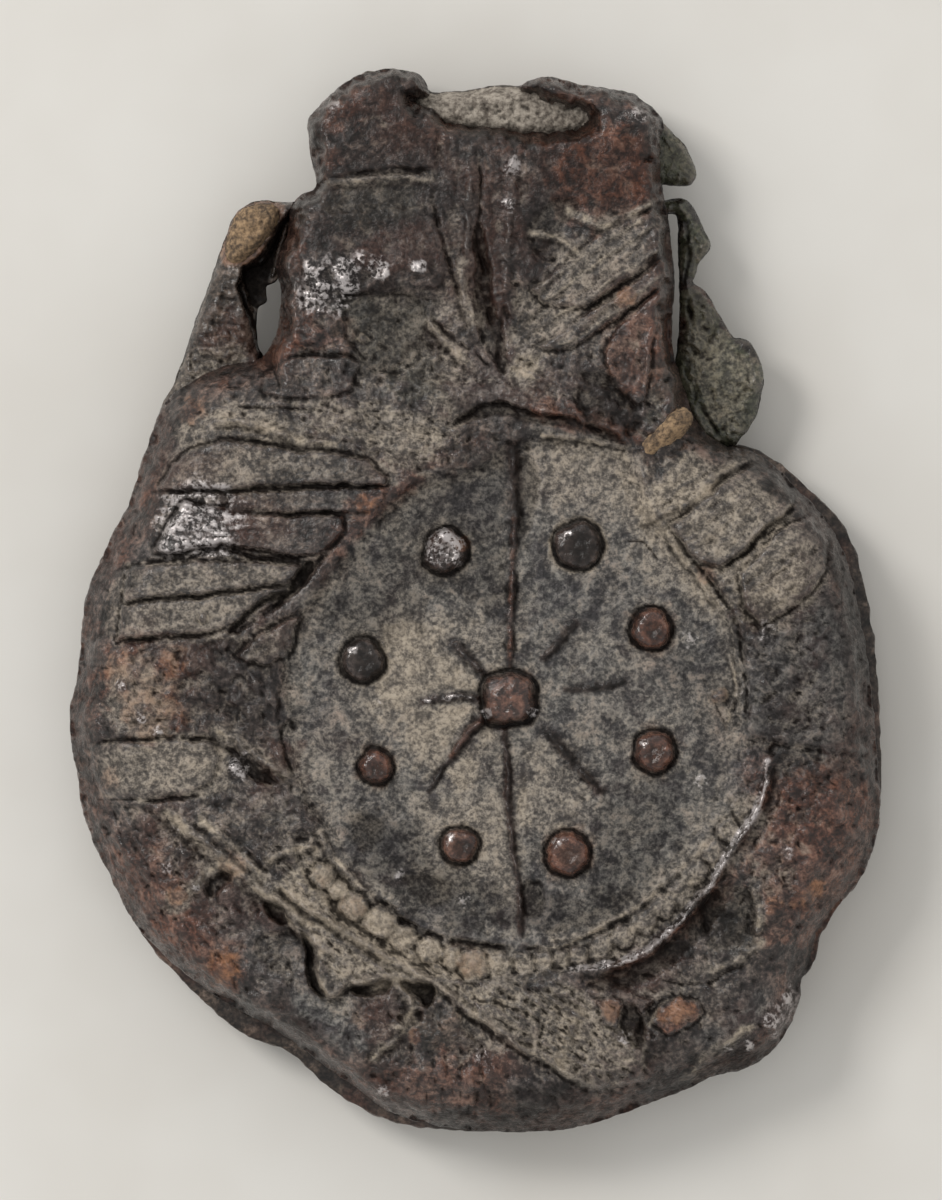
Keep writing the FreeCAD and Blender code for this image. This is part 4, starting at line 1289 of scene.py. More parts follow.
@dataclass
class FrontCasting:
    """The decorated half: body face, neck face and all that stands on them."""

    step: float = 1.6
    crown: float = 8.2
    rim: float = 4.5
    dome_knots: tuple = ((0.0, 0.08), (0.42, 0.32), (1.15, 0.64), (2.1, 0.87), (5.0, 0.955), (9.7, 1.0))
    edge_knots: tuple = ((0.0, 0.0), (0.08, 0.38), (0.22, 0.7), (0.42, 0.92), (0.7, 1.0))
    field_sink: float = 0.62
    raggedness: float = 13 / 14
    grey_bead_px: float = 490.0

    # Plates: rise in mm, bevel in px, crease in mm, and the corners. They are the bars at both sides, the
    # sheets on the neck, the blisters at the foot and the hollow under the neck
    plates: tuple = (
        (0.391, 4.8, 0.063, px("159,489 170,468 183,456 199,446 226,440 246,443 292,451 325,452 368,461"
            " 388,479 384,484 312,484 272,488 226,491")),
        (0.184, 3.6, 0.045, px("228,495 312,490 386,488 382,500 372,511 338,512 232,511")),
        (0.391, 5.4, 0.072, px("154,551 170,524 184,503 232,512 292,516 342,519 344,532 320,554 292,555"
            " 256,550 222,544 199,547 170,554")),
        (0.299, 4.8, 0.045, px("126,570 143,566 199,562 250,562 304,567 286,582 258,586 199,594 126,600")),
        (0.276, 4.8, 0.054, px("118,641 124,604 199,599 262,590 292,588 270,604 246,619 219,629 193,632"
            " 146,636")),
        (0.23, 6, 0, px("93,745 150,741 214,739 220,756 212,780 190,793 120,798 100,790 92,770")),
        (0.345, 4.8, 0.072, px("239,655 262,634 299,616 294,640 285,656 265,664 248,662")),
        (0.253, 4.2, 0.054, px("265,374 290,362 309,357 342,358 361,364 352,378 349,390 335,396 313,397"
            " 279,398 262,392")),
        (0.345, 5.4, 0.063, px("699,506 719,484 740,472 761,464 782,478 794,494 788,506 765,526 747,547"
            " 719,567 690,561 672,526")),
        (0.299, 5.4, 0.054, px("738,572 765,549 786,526 812,517 826,540 821,574 807,593 784,613 761,624"
            " 742,607")),
        (0.276, 6, 0.045, px("575,258 597,236 631,218 663,212 666,244 639,272 589,308 545,305 532,290"
            " 560,268")),
        (0.253, 5.4, 0.045, px("586,316 612,300 666,256 665,281 640,300 605,328 560,352 540,346")),
        (0.276, 5.4, 0.054, px("610,338 636,312 662,290 650,350 646,392 638,408 612,384 604,352")),
        (0.184, 6, 0, px("300,60 420,60 436,120 434,168 352,174 318,182 296,170")),
        (0.299, 4.2, 0.045, px("652,1022 660,1005 676,996 698,1000 702,1012 690,1024 666,1033")),
        (0.253, 3.6, 0.045, px("597,999 618,996 623,1008 616,1026 600,1023")),
        (0.23, 4.8, 0.036, px("476,1000 510,1006 540,1024 536,1044 500,1030 478,1016")),
        (0.161, 7.2, 0, px("306,214 425,210 440,230 448,262 440,288 350,292 308,290 298,250")),
        (-0.184, 5.4, 0, NECK_HOLLOW_PX),
    )
    # Grooves: width in px, depth in mm, and the line. They part the bars, crack the neck and ring the field
    grooves: tuple = (
        (3.825, 0.22, px("353,176 372,173 392,170 412,170 430,173")),
        (4.25, 0.24, px("339,294 362,295 388,297 413,296 432,300")),
        (2.975, 0.2, px("288,361 310,355 342,356 362,363")),
        (2.55, 0.16, px("203,386 222,388 242,387")),
        (3.4, 0.24, px("233,410 262,409 290,410 311,411 330,412")),
        (5.1, 0.25, px("318,405 330,406")),
        (3.4, 0.22, px("219,436 244,440 272,446 299,452 335,452 370,459")),
        (3.825, 0.26, px("160,492 200,492 240,490 290,486 340,486 388,486")),
        (3.4, 0.22, px("226,513 262,515 300,514 340,514")),
        (3.825, 0.28, px("140,560 170,560 196,556 216,549 240,554 262,559 292,561 314,563")),
        (2.55, 0.14, px("143,601 164,603 186,599 200,594")),
        (2.55, 0.14, px("212,593 232,589 262,583 300,579")),
        (4.25, 0.28, px("113,646 134,641 160,637 193,635 216,633")),
        (5.1, 0.34, px("330,552 312,572 292,592 272,610 250,624 228,637")),
        (3.825, 0.26, px("90,742 120,739 160,738 222,737")),
        (3.4, 0.22, px("94,800 130,800 170,798 205,796")),
        (5.1, 0.32, px("226,735 244,748 262,764 284,778 298,796")),
        (4.25, 0.2, px("286,660 281,690 280,720 286,752 296,780")),
        (5.95, 0.34, px("476,226 480,250 485,276 487,300 492,330")),
        (2.55, 0.2, px("477,148 480,170 480,200 478,226")),
        (4.25, 0.22, px("432,190 438,222 447,256 458,290 466,306")),
        (4.25, 0.24, px("430,318 448,336 470,352 499,372")),
        (4.25, 0.2, px("505,300 500,330 498,352 499,374")),
        (2.55, 0.2, px("583,312 606,298 634,279 667,254")),
        (2.55, 0.18, px("590,338 605,329 636,308 664,283")),
        (4.25, 0.26, px("456,424 476,412 493,405 514,408 533,414 560,419 590,428 620,442")),
        (4.25, 0.3, px("719,569 740,556 761,541 780,523 795,506")),
        (3.4, 0.24, px("701,502 715,486 734,470 758,461")),
        (4.25, 0.28, px("669,527 686,553 704,575 717,592 731,615 738,640 744,668 746,700 744,730")),
        (1.87, 0.14, px("627,540 642,541 652,550 658,561")),
        (2.55, 0.12, px("714,700 720,714 726,729")),
        (5.95, 0.34, px("366,889 385,902 399,918 428,931 460,941 487,946 520,948")),
        (4.25, 0.24, px("520,948 556,946 580,938 606,928 640,910 668,886")),
        (3.4, 0.22, px("638,972 664,980 690,984 712,980 736,968 752,962")),
    )
    # Ribs: width in px, rise in mm, how bright the crest is worn (-1 where crust covers it; above 0.8 it
    # also gets a painted glint and a painted shadow), and the line
    ribs: tuple = (
        (7, 0.2, -1, px("320,186 350,182 385,180 430,179")),
        (8, 0.3, 0.5, px("472,142 471,170 469,200 468,230 464,262")),
        (12, 0.34, -1, px("462,268 464,290 470,308 475,322")),
        (9, 0.3, 0.6, px("514,152 512,180 511,200 508,230 507,262 504,298")),
        (7, 0.22, -1, px("429,322 448,345 470,368")),
        (7, 0.28, -1, px("530,233 548,236 562,241 576,252")),
        (7, 0.3, -1, px("568,212 584,218 600,226 622,218 646,206 664,196")),
        (4, 0.16, 0.6, px("604,334 614,344 606,358 616,377")),
        (4, 0.18, 0.6, px("649,330 646,350 645,380 643,419")),
        (4, 0.2, -1, px("541,436 566,437 592,441 623,449")),
        (5, 0.24, -1, px("666,532 684,560 702,584 716,604")),
        (3, 0.14, -1, px("650,1026 655,1012 662,1003 672,997")),
        (4, 0.18, -1, px("729,650 735,686 732,704 726,722")),
        (5, 0.18, 0.5, px("440,430 452,433 471,426")),
        (7, 0.28, -1, px("222,421 246,424 270,430 296,438 335,445")),
        (5, 0.14, 0.3, px("205,341 222,342")),
        (8, 0.34, -1, px("646,519 676,508 700,497 713,480 735,463 758,456")),
        (4, 0.18, -1, px("789,504 764,526 745,545")),
        (11, 0.36, -1, px("219,729 240,744 262,758 285,774")),
        (6, 0.18, -1, px("209,638 226,636 242,640")),
        (11, 0.42, -1, px("170,812 193,834 213,850 233,868 254,883 277,903 300,926 318,944")),
        (8, 0.34, -1, px("200,818 222,836 244,858 266,876")),
        (7, 0.36, -1, px("285,890 315,911 348,929 380,951 412,967 453,996 484,1018 516,1041 552,1062"
            " 590,1084")),
        (8, 0.38, -1, px("323,952 319,974 330,993 353,981 392,976 422,979")),
        (7, 0.32, -1, px("320,830 330,852 348,873 371,893")),
        (6, 0.3, -1, px("622,914 640,904 665,882 692,857 704,842")),
        (4, 0.2, -1, px("550,938 580,932 606,922 626,912")),
        (7, 0.42, 0.9, px("769,762 765,790 752,819 734,842 724,860 712,884 697,896 682,918 665,936 645,951"
            " 620,962 598,967 570,970")),
        (6, 0.22, 0.3, px("570,970 540,972 500,977 460,981 430,978")),
        (7, 0.28, -1, px("374,1054 390,1042 404,1028 414,1020")),
        (7, 0.24, -1, px("684,1081 694,1070 706,1056 726,1042 752,1026")),
        (9, 0.34, -1, px("559,1060 568,1036 576,1018 586,1006")),
        (8, 0.3, -1, px("752,889 757,912 756,936")),
        (7, 0.3, -1, px("712,970 732,962 748,952 760,942")),
        (8, 0.34, -1, px("268,861 280,852 294,848 310,846 316,850")),
        (6, 0.3, -1, px("256,889 274,898 293,908 310,922")),
        (7, 0.34, -1, px("290,892 310,908 329,920 348,934 366,946 388,958")),
        (9, 0.34, -1, px("374,988 392,984 406,990 412,1004 406,1020 396,1026")),
        (9, 0.34, -1, px("217,864 206,874 196,884 190,892")),
        (4, 0.18, -1, px("540,948 560,944 580,936 600,928")),
        (4, 0.18, 0.4, px("330,184 350,181 380,179 428,178")),
        (3, 0.1, -1, px("545,300 570,284 600,262 640,236 662,222")),
        (3, 0.1, -1, px("556,318 590,298 630,268 664,246")),
        (3, 0.1, -1, px("560,344 590,330 630,300 664,272")),
        (3, 0.1, -1, px("540,286 566,270 600,246 640,222")),
    )
    # Pits, torn or rotted out: depth in mm, bevel in px, how dark their painted shade is, and the corners
    pits: tuple = (
        (0.55, 6, 0.9, px("266,902 276,904 287,913 291,920 280,922 270,914")),
        (0.65, 5, 0.95, px("302,928 309,937 314,950 314,966 317,980 327,992 320,994 310,981 307,964"
            " 307,948")),
        (0.55, 5, 0.9, px("354,985 370,981 390,981 385,990 368,993 357,992")),
        (0.55, 5, 0.9, px("400,983 420,981 435,989 431,1002 424,1005 417,994 406,990")),
        (0.35, 7, 0.6, px("399,1015 410,1012 422,1011 418,1022 406,1025")),
        (0.35, 8, 0.6, px("206,891 214,880 226,870 232,876 222,888 212,897")),
        (0.45, 5, 0.9, px("316,562 306,582 292,594 264,606 248,619 230,634 234,626 250,608 270,596 288,586"
            " 302,566")),
        (0.35, 6, 0.7, px("617,1006 630,1001 641,1012 645,1030 640,1045 628,1040 619,1024")),
        # The hollow outside the outer ridge, darkened as the ridge's painted shadow
        (0.22, 9, 0.75, px("712,892 694,916 668,941 646,960 618,974 590,979 592,988 628,986 660,972 690,948"
            " 712,922 724,900")),
        (0.25, 12, 0.2, px("366,1052 384,1044 404,1038 416,1050 410,1072 388,1084 368,1074")),
        (0.28, 12, 0.15, px("256,938 276,930 298,936 308,950 300,966 276,968 260,956")),
        (0.3, 10, 0.45, px("704,894 728,884 748,892 752,922 740,944 716,950 702,930")),
        (0.3, 8, 0.6, px("228,746 244,754 268,770 276,782 262,782 244,768")),
        (0.18, 7, 0.55, px("521,884 540,880 544,900 540,914 524,914")),
        (0.2, 10, 0.45, px("518,458 534,462 538,490 534,520 522,534 517,500")),
        (0.16, 14, 0.45, px("349,818 366,812 382,822 378,846 360,850")),
        (0.16, 14, 0.45, px("404,878 430,872 450,884 446,902 420,904")),
        (0.3, 7, 0.6, px("476,228 484,232 490,262 492,300 502,330 506,372 494,362 478,330 476,290")),
        (0.22, 10, 0.45, px("536,214 560,200 580,208 566,226 556,262 540,262 528,240")),
        (0.2, 9, 0.55, px("577,380 600,372 628,392 638,430 612,438 584,420")),
        (0.24, 7, 0.65, px("455,424 476,408 500,402 534,412 576,420 620,438 618,446 580,432 536,424 500,414"
            " 476,420")),
    )
    # Spokes: width in px, rise in mm, how dark the painted shadow beside it is, what shows on its crest,
    # and the line
    spokes: tuple = (
        (9, 0.27, 0.95, Stain.DARK_PATINA_AND_SHADE, px("512,445 514,470 515,495 514,525")),
        (6, 0.459, 0.9, Stain.RUST, px("514,520 513,560 511,600 510,640 509,664")),
        (5, 0.351, 0.9, Stain.DARK_PATINA_AND_SHADE, px("505,728 507,752 508,790 511,830 517,870 520,905 521,934")),
        (5, 0.216, 0.6, Stain.DARK_PATINA_AND_SHADE, px("564,690 582,688 600,687 622,682")),
        (7, 0.324, 0.9, Stain.DARK_PATINA_AND_SHADE, px("543,657 556,645 566,633 575,624")),
        (8, 0.324, 0.45, Stain.SLATE, px("482,672 470,660 460,650 452,642")),
        (6, 0.405, 0.7, Stain.BARE_METAL_AND_GLINT, px("478,701 464,698 446,697 424,701")),
        (8, 0.459, 0.95, Stain.RUST, px("488,714 474,726 462,742 452,756")),
        (4, 0.27, 0.9, Stain.DARK_PATINA_AND_SHADE, px("452,756 440,772 428,790")),
        (8, 0.351, 0.95, Stain.DARK_PATINA_AND_SHADE, px("546,731 562,748 578,768 600,788")),
    )
    # The eight pellets: place, radius in px and rise in mm
    pellets: tuple = (
        (445, 551, 22.5, 0.78), (578, 545, 23.5, 0.55), (651, 628, 20.5, 0.8), (654, 752, 20.5, 0.8),
        (567, 852, 21.5, 0.8), (460, 845, 18, 0.66), (376, 766, 17, 0.76), (363, 660, 21.5, 0.68),
    )
    # Beads that show one by one: place, half width, turn from the row in degrees and rise in mm
    beads: tuple = (
        (323, 875, 12, 40, 0.26), (338, 889, 10, 40, 0.24), (354, 905, 14, 42, 0.3),
        (380, 920, 16, 40, 0.22), (404, 936, 13, 30, 0.16), (430, 948, 13, 20, 0.18),
        (452, 956, 11, 14, 0.18), (474, 963, 16, 8, 0.26), (500, 964, 12, 2, 0.18),
        (524, 963, 10, -4, 0.16), (543, 961, 10, -8, 0.2), (560, 957, 9, -12, 0.16),
        (578, 953, 10, -16, 0.22), (600, 946, 12, -22, 0.24), (622, 935, 12, -30, 0.22),
        (643, 921, 13, -36, 0.24), (662, 905, 12, -40, 0.24), (680, 891, 13, -44, 0.26),
        (694, 871, 12, -50, 0.24), (712, 850, 11, -54, 0.18), (728, 829, 10, -58, 0.16),
        (740, 806, 10, -62, 0.14),
    )
    # Soft lumps: place, radius in px and rise in mm
    lumps: tuple = (
        (316, 268, 13, 0.253), (333, 256, 12, 0.207), (346, 272, 14, 0.299), (366, 258, 13, 0.253),
        (384, 272, 12, 0.207), (402, 258, 11, 0.207), (419, 268, 10, 0.299), (430, 284, 9, 0.207),
        (322, 290, 11, 0.23), (300, 330, 11, 0.207), (318, 338, 12, 0.23), (336, 324, 9, 0.161),
        (340, 110, 14, 0.184), (372, 100, 14, 0.138), (398, 120, 12, 0.138), (352, 140, 16, 0.138),
        (330, 150, 10, 0.138), (513, 165, 8, 0.253), (508, 205, 8, 0.23), (509, 232, 7, 0.1725),
        (640, 116, 10, 0.23), (610, 150, 16, 0.138), (575, 160, 16, 0.115), (600, 190, 14, 0.138),
        (632, 170, 9, 0.161), (584, 386, 8, 0.23), (600, 394, 7, 0.23), (612, 408, 8, 0.276),
        (596, 412, 7, 0.23), (628, 416, 9, 0.23), (620, 430, 7, 0.23), (583, 424, 6, 0.207),
        (606, 428, 6, 0.184), (572, 404, 6, 0.161), (545, 411, 9, 0.276), (190, 668, 9, 0.253),
        (206, 660, 8, 0.207), (222, 676, 10, 0.299), (240, 668, 8, 0.23), (256, 684, 9, 0.253),
        (236, 696, 9, 0.276), (212, 700, 9, 0.23), (194, 694, 8, 0.207), (250, 712, 9, 0.253),
        (226, 720, 8, 0.23), (204, 724, 7, 0.184), (272, 700, 7, 0.207), (118, 664, 10, 0.1725),
        (140, 672, 12, 0.207), (162, 664, 9, 0.161), (126, 694, 10, 0.184), (150, 704, 12, 0.207),
        (168, 690, 9, 0.161), (240, 768, 11, 0.299), (757, 640, 10, 0.23), (775, 656, 11, 0.253),
        (790, 676, 10, 0.23), (764, 684, 10, 0.23), (782, 706, 10, 0.23), (758, 712, 9, 0.207),
        (732, 613, 7, 0.23), (809, 696, 9, 0.184), (848, 694, 9, 0.184), (820, 650, 12, 0.161),
        (836, 720, 12, 0.161), (767, 857, 12, 0.299), (806, 892, 10, 0.23), (770, 906, 12, 0.23),
        (790, 918, 10, 0.184), (744, 866, 9, 0.207), (830, 800, 14, 0.161), (800, 790, 13, 0.161),
        (850, 840, 12, 0.161), (776, 1028, 10, 0.253), (762, 1044, 8, 0.207), (452, 1020, 12, 0.276),
        (436, 1036, 10, 0.23), (466, 1040, 9, 0.23), (446, 1000, 8, 0.184), (610, 1068, 30, 0.207),
        (600, 1012, 12, 0.23), (676, 1014, 18, 0.23), (660, 1040, 14, 0.161), (226, 890, 12, 0.276),
        (234, 915, 7, 0.23), (120, 840, 13, 0.184), (150, 870, 12, 0.184), (110, 870, 10, 0.184),
        (140, 905, 12, 0.184), (180, 930, 10, 0.207), (200, 960, 12, 0.207), (224, 974, 12, 0.23),
        (160, 840, 10, 0.184), (132, 880, 9, 0.161), (320, 1010, 14, 0.1725), (346, 1030, 14, 0.184),
        (302, 1024, 8, 0.161), (392, 1000, 12, 0.23), (280, 985, 12, 0.184), (258, 1000, 12, 0.161),
        (676, 436, 9, 0.138), (660, 446, 9, 0.138), (708, 440, 14, 0.138), (719, 696, 8, 0.345),
        (363, 339, 5, 0.276), (203, 618, 5, 0.253), (790, 1000, 8, 0.299), (770, 1020, 8, 0.299),
        (780, 1037, 7, 0.276), (748, 1046, 6, 0.207), (122, 686, 6, 0.184), (141, 717, 6, 0.184),
        (158, 731, 6, 0.161), (165, 712, 7, 0.184), (132, 652, 6, 0.161), (786, 852, 9, 0.23),
        (812, 868, 9, 0.207), (780, 826, 9, 0.23), (806, 834, 8, 0.207), (838, 816, 9, 0.184),
        (776, 884, 7, 0.207), (812, 912, 8, 0.184), (750, 796, 8, 0.207), (768, 776, 8, 0.184),
        (820, 768, 9, 0.161), (440, 1072, 9, 0.207), (466, 1084, 9, 0.207), (404, 1094, 9, 0.184),
        (492, 1072, 8, 0.184), (346, 1086, 9, 0.161), (96, 826, 8, 0.184), (128, 860, 8, 0.207),
        (160, 900, 8, 0.207), (176, 962, 8, 0.184), (208, 930, 8, 0.207), (244, 1000, 8, 0.184),
        (150, 824, 7, 0.184), (186, 852, 7, 0.207), (206, 838, 6, 0.184),
    )
    # Scores: direction in degrees, depth in mm, width in px, and the corners
    scores: tuple = (
        (3, 0.1, 8, px("200,404 300,408 430,400 460,430 420,472 330,452 240,438 190,440")),
        (1, 0.05, 6, px("120,640 150,560 180,450 300,440 390,470 380,520 300,600 220,640")),
        (37, 0.13, 8, px("170,812 300,850 380,920 480,975 600,1000 600,1086 420,985 330,990 254,886")),
        (-34, 0.09, 7, px("648,520 700,470 780,455 830,530 820,600 745,625 690,560")),
        (-37, 0.1, 8, px("520,320 560,250 640,205 668,220 664,290 600,340 530,370")),
        (88, 0.05, 9, px("440,140 522,140 516,330 470,330 450,250")),
        (90, 0.14, 11, px("415,1052 484,1052 486,1112 420,1116")),
        (-28, 0.08, 8, px("760,620 868,560 874,760 780,790")),
        (60, 0.1, 8, px("80,810 160,840 240,960 250,1030 160,960 100,880")),
        (30, 0.08, 7, px("500,1000 640,985 700,1000 640,1090 560,1070")),
    )
    # Washes: for each stain, its strength (negative wipes it off), how softly it ends in px, and the
    # corners
    washes: tuple = (
        # Dark washes: painted shade on the rims turned from the window and in the neck's hollows, and dark
        # patina in patches of the field, neck and shoulder
        (Stain.DARK_PATINA_AND_SHADE, (
            (0.36, 25.2, px("310,600 345,556 420,484 505,455 512,560 505,610 440,600 400,640 330,640")),
            (0.4, 19.6, px("349,820 400,812 440,860 520,900 560,905 640,880 640,905 560,935 440,925"
                " 370,880")),
            (0.16, 22.4, px("673,653 735,650 740,720 690,715")),
            (0.32, 22.4, px("600,800 650,770 672,800 660,880 610,900 590,860")),
            (0.336, 22.4, px("306,110 420,74 440,130 520,136 530,300 500,330 440,300 340,300 290,350"
                " 285,250")),
            (0.48, 19.6, px("541,133 645,133 650,200 600,222 545,200")),
            (0.48, 19.6, NECK_HOLLOW_PX),
            (0.28, 19.6, px("455,405 500,400 640,440 620,450 540,440 500,470 460,440")),
            (0.24, 25.2, px("750,600 868,590 874,760 770,780 745,700")),
            (0.24, 22.4, px("170,650 284,640 284,740 180,735")),
            (0.4, 8.4, px("708,1068 752,1036 766,1050 726,1080")),
            (0.44, 8.4, px("644,1034 672,1038 664,1062 640,1060")),
            (0.6, 16.8, px("752,452 780,466 812,486 852,536 878,604 886,690 866,690 850,612 826,552 800,506"
                " 768,476")),
            (0.48, 19.6, px("520,1080 620,1086 700,1060 790,1040 800,1070 700,1110 540,1140 420,1130"
                " 440,1110")),
        )),
        (Stain.CRUST, (
            (0.64, 28, px("371,640 430,625 484,650 480,700 484,784 440,790 400,750")),
            (0.48, 22.4, px("418,813 470,790 513,800 513,900 460,900 425,870")),
            (0.4, 22.4, px("520,442 620,448 650,500 700,560 718,605 690,610 640,560 600,500 530,500")),
            (0.48, 22.4, px("521,747 576,747 590,800 540,830 515,800")),
            (-0.6, 19.6, NECK_PX),
            (-0.48, 19.6, px("64,790 150,810 250,930 310,1010 420,1050 520,1060 620,1096 700,1060 780,960"
                " 790,780 900,760 900,1150 64,1150")),
            (-0.48, 16.8, px("60,560 116,500 118,600 100,700 92,800 60,800")),
            (0.72, 9.8, px("400,84 412,80 426,86 432,98 420,100 406,96")),
            (0.56, 11.2, px("300,850 330,858 372,905 440,944 540,950 620,930 700,862 740,800 752,820"
                " 710,884 640,946 560,972 470,980 400,954 340,914 306,880")),
            (0.208, 19.6, FIELD_PX),
            (0.32, 28, px("370,630 440,600 500,640 500,760 540,800 500,880 440,800 400,740 340,720")),
            (0.36, 22.4, px("560,440 640,460 690,560 720,600 690,600 620,520 550,490")),
            (0.4, 11.2, px("160,480 200,446 260,442 380,462 384,484 230,490")),
            (0.6, 11.2, px("126,568 300,562 290,586 246,622 116,640")),
            (0.68, 11.2, px("92,744 216,740 214,786 100,797")),
            (0.68, 19.6, px("205,410 300,414 420,405 460,430 420,470 340,450 240,436 190,440")),
            (0.56, 11.2, px("240,655 298,615 286,656 262,664")),
            (0.76, 16.8, px("640,480 700,450 760,456 796,496 824,530 820,590 760,622 720,590 680,545"
                " 648,520")),
            (0.496, 16.8, px("524,300 560,260 640,214 664,220 664,280 560,352 540,380 506,374 505,330")),
            (0.76, 16.8, px("170,812 254,876 300,870 330,860 380,920 470,975 560,985 620,1010 644,1056"
                " 598,1086 516,1042 420,990 330,990 318,944 254,886")),
            (0.72, 16.8, px("112,666 152,664 178,700 164,738 118,730")),
            (0.8, 5.6, px("680,1084 694,1064 712,1048 746,1023 756,1030 720,1060 696,1086")),
        )),
        (Stain.SLATE, (
            (-0.4, 19.6, NECK_PX),
            (0.76, 19.6, FIELD_PX),
            (0.72, 14, px("292,990 340,996 362,1030 356,1056 316,1050")),
            (0.44, 19.6, px("748,640 864,600 870,740 750,740")),
            (0.4, 16.8, px("700,1030 796,985 790,1040 720,1070")),
        )),
        (Stain.MOSS, (
            (0.44, 19.6, px("345,300 420,300 440,350 440,400 380,390 345,345")),
            (0.36, 16.8, px("330,190 420,186 410,220 340,225")),
            (0.44, 14, px("652,330 672,330 672,410 640,430 650,380")),
            (0.36, 19.6, px("714,885 750,890 745,940 710,945")),
            (0.36, 16.8, px("428,1000 476,1005 474,1048 430,1048")),
        )),
        (Stain.RUST, (
            (0.64, 25.2, px("545,135 640,140 648,190 600,222 560,200")),
            (0.48, 16.8, px("325,100 360,95 362,130 330,128")),
            (0.44, 19.6, px("300,310 345,312 352,350 300,352")),
            (0.48, 19.6, px("604,330 648,322 650,390 612,380")),
            (0.576, 22.4, px("112,655 176,655 176,730 118,730")),
            (0.72, 5.6, px("655,1022 662,1006 678,998 697,1002 700,1012 688,1022 668,1030")),
            (0.56, 9.8, px("726,862 736,870 724,898 700,920 664,950 630,972 596,984 596,974 640,954 684,922"
                " 712,890")),
            (0.416, 19.6, px("112,850 170,860 190,900 240,950 240,1005 190,975 140,915")),
            (0.44, 22.4, px("384,1070 470,1056 500,1060 500,1110 420,1118")),
            (0.512, 25.2, px("770,780 870,790 866,860 820,930 768,930 742,850 760,830")),
            (0.48, 11.2, px("540,400 636,430 620,444 545,424")),
            (0.48, 11.2, px("345,505 388,480 420,486 360,540 326,556")),
        )),
        (Stain.OCHRE, (
            (0.32, 19.6, px("112,655 176,655 176,730 118,730")),
            (0.48, 8.4, px("662,1016 664,1006 678,1001 694,1004 696,1010 684,1016")),
            (0.52, 4.2, px("600,1002 616,999 620,1010 614,1023 602,1020")),
        )),
    )
    # Dabs: for each stain, place, radius in px and strength
    dabs: tuple = (
        (Stain.OCHRE, (
            (627, 298, 11, 0.5), (366, 502, 12, 0.5), (178, 896, 11, 0.5), (800, 900, 12, 0.5),
            (816, 888, 9, 0.6), (224, 966, 16, 0.7), (110, 778, 12, 0.3), (472, 962, 16, 0.35),
            (325, 876, 11, 0.3), (354, 905, 13, 0.3), (706, 574, 12, 0.4), (192, 410, 14, 0.4),
            (360, 1018, 12, 0.3), (232, 866, 16, 0.3), (772, 904, 10, 0.45), (463, 545, 8, 0.9),
            (414, 1035, 8, 0.4), (719, 696, 9, 0.35),
        )),
        (Stain.CRUST, (
            (525, 367, 14, 0.8), (176, 902, 14, 0.7), (203, 618, 6, 1), (363, 339, 6, 1), (719, 696, 9, 1),
        )),
        # Painted glints, and bare metal where the crust is worn through
        (Stain.BARE_METAL_AND_GLINT, (
            (200, 522, 38, 1), (230, 518, 20, 0.8), (174, 546, 16, 0.8), (330, 287, 28, 1),
            (316, 300, 16, 0.9), (690, 640, 9, 0.5), (700, 780, 9, 0.5), (742, 690, 8, 0.5),
            (462, 900, 7, 0.5), (380, 700, 8, 0.5), (560, 590, 7, 0.4), (352, 262, 13, 0.8),
            (380, 268, 12, 0.9), (446, 548, 19, 0.85), (122, 686, 6, 0.8), (141, 717, 6, 0.8),
            (158, 731, 6, 0.8), (790, 1000, 8, 0.9), (771, 1019, 8, 0.8), (779, 1038, 7, 0.8),
            (747, 1045, 6, 0.7), (728, 1046, 5, 0.7), (508, 206, 8, 0.7), (400, 875, 6, 0.9),
            (385, 1091, 7, 0.8), (176, 830, 5, 0.7), (196, 886, 5, 0.7), (786, 852, 6, 0.6),
            (418, 266, 8, 0.8), (241, 766, 12, 0.9), (332, 104, 7, 0.9), (640, 116, 8, 0.8),
            (624, 1034, 7, 0.9), (166, 867, 5, 0.9), (794, 990, 8, 0.8), (484, 1056, 9, 0.7),
            (436, 549, 13, 0.9), (764, 628, 12, 0.5), (512, 166, 12, 0.6), (780, 1012, 14, 0.5),
        )),
        (Stain.DARK_PATINA_AND_SHADE, (
            (302, 1025, 11, 0.6), (582, 545, 14, 0.6),
        )),
        (Stain.RUST, (
            (445, 551, 22, 0.4), (651, 628, 24, 0.75), (654, 752, 24, 0.65), (567, 852, 25, 0.75),
            (460, 845, 21, 0.6), (376, 766, 20, 0.7), (508, 700, 30, 0.6), (545, 411, 12, 0.7),
            (282, 350, 12, 0.7),
        )),
    )

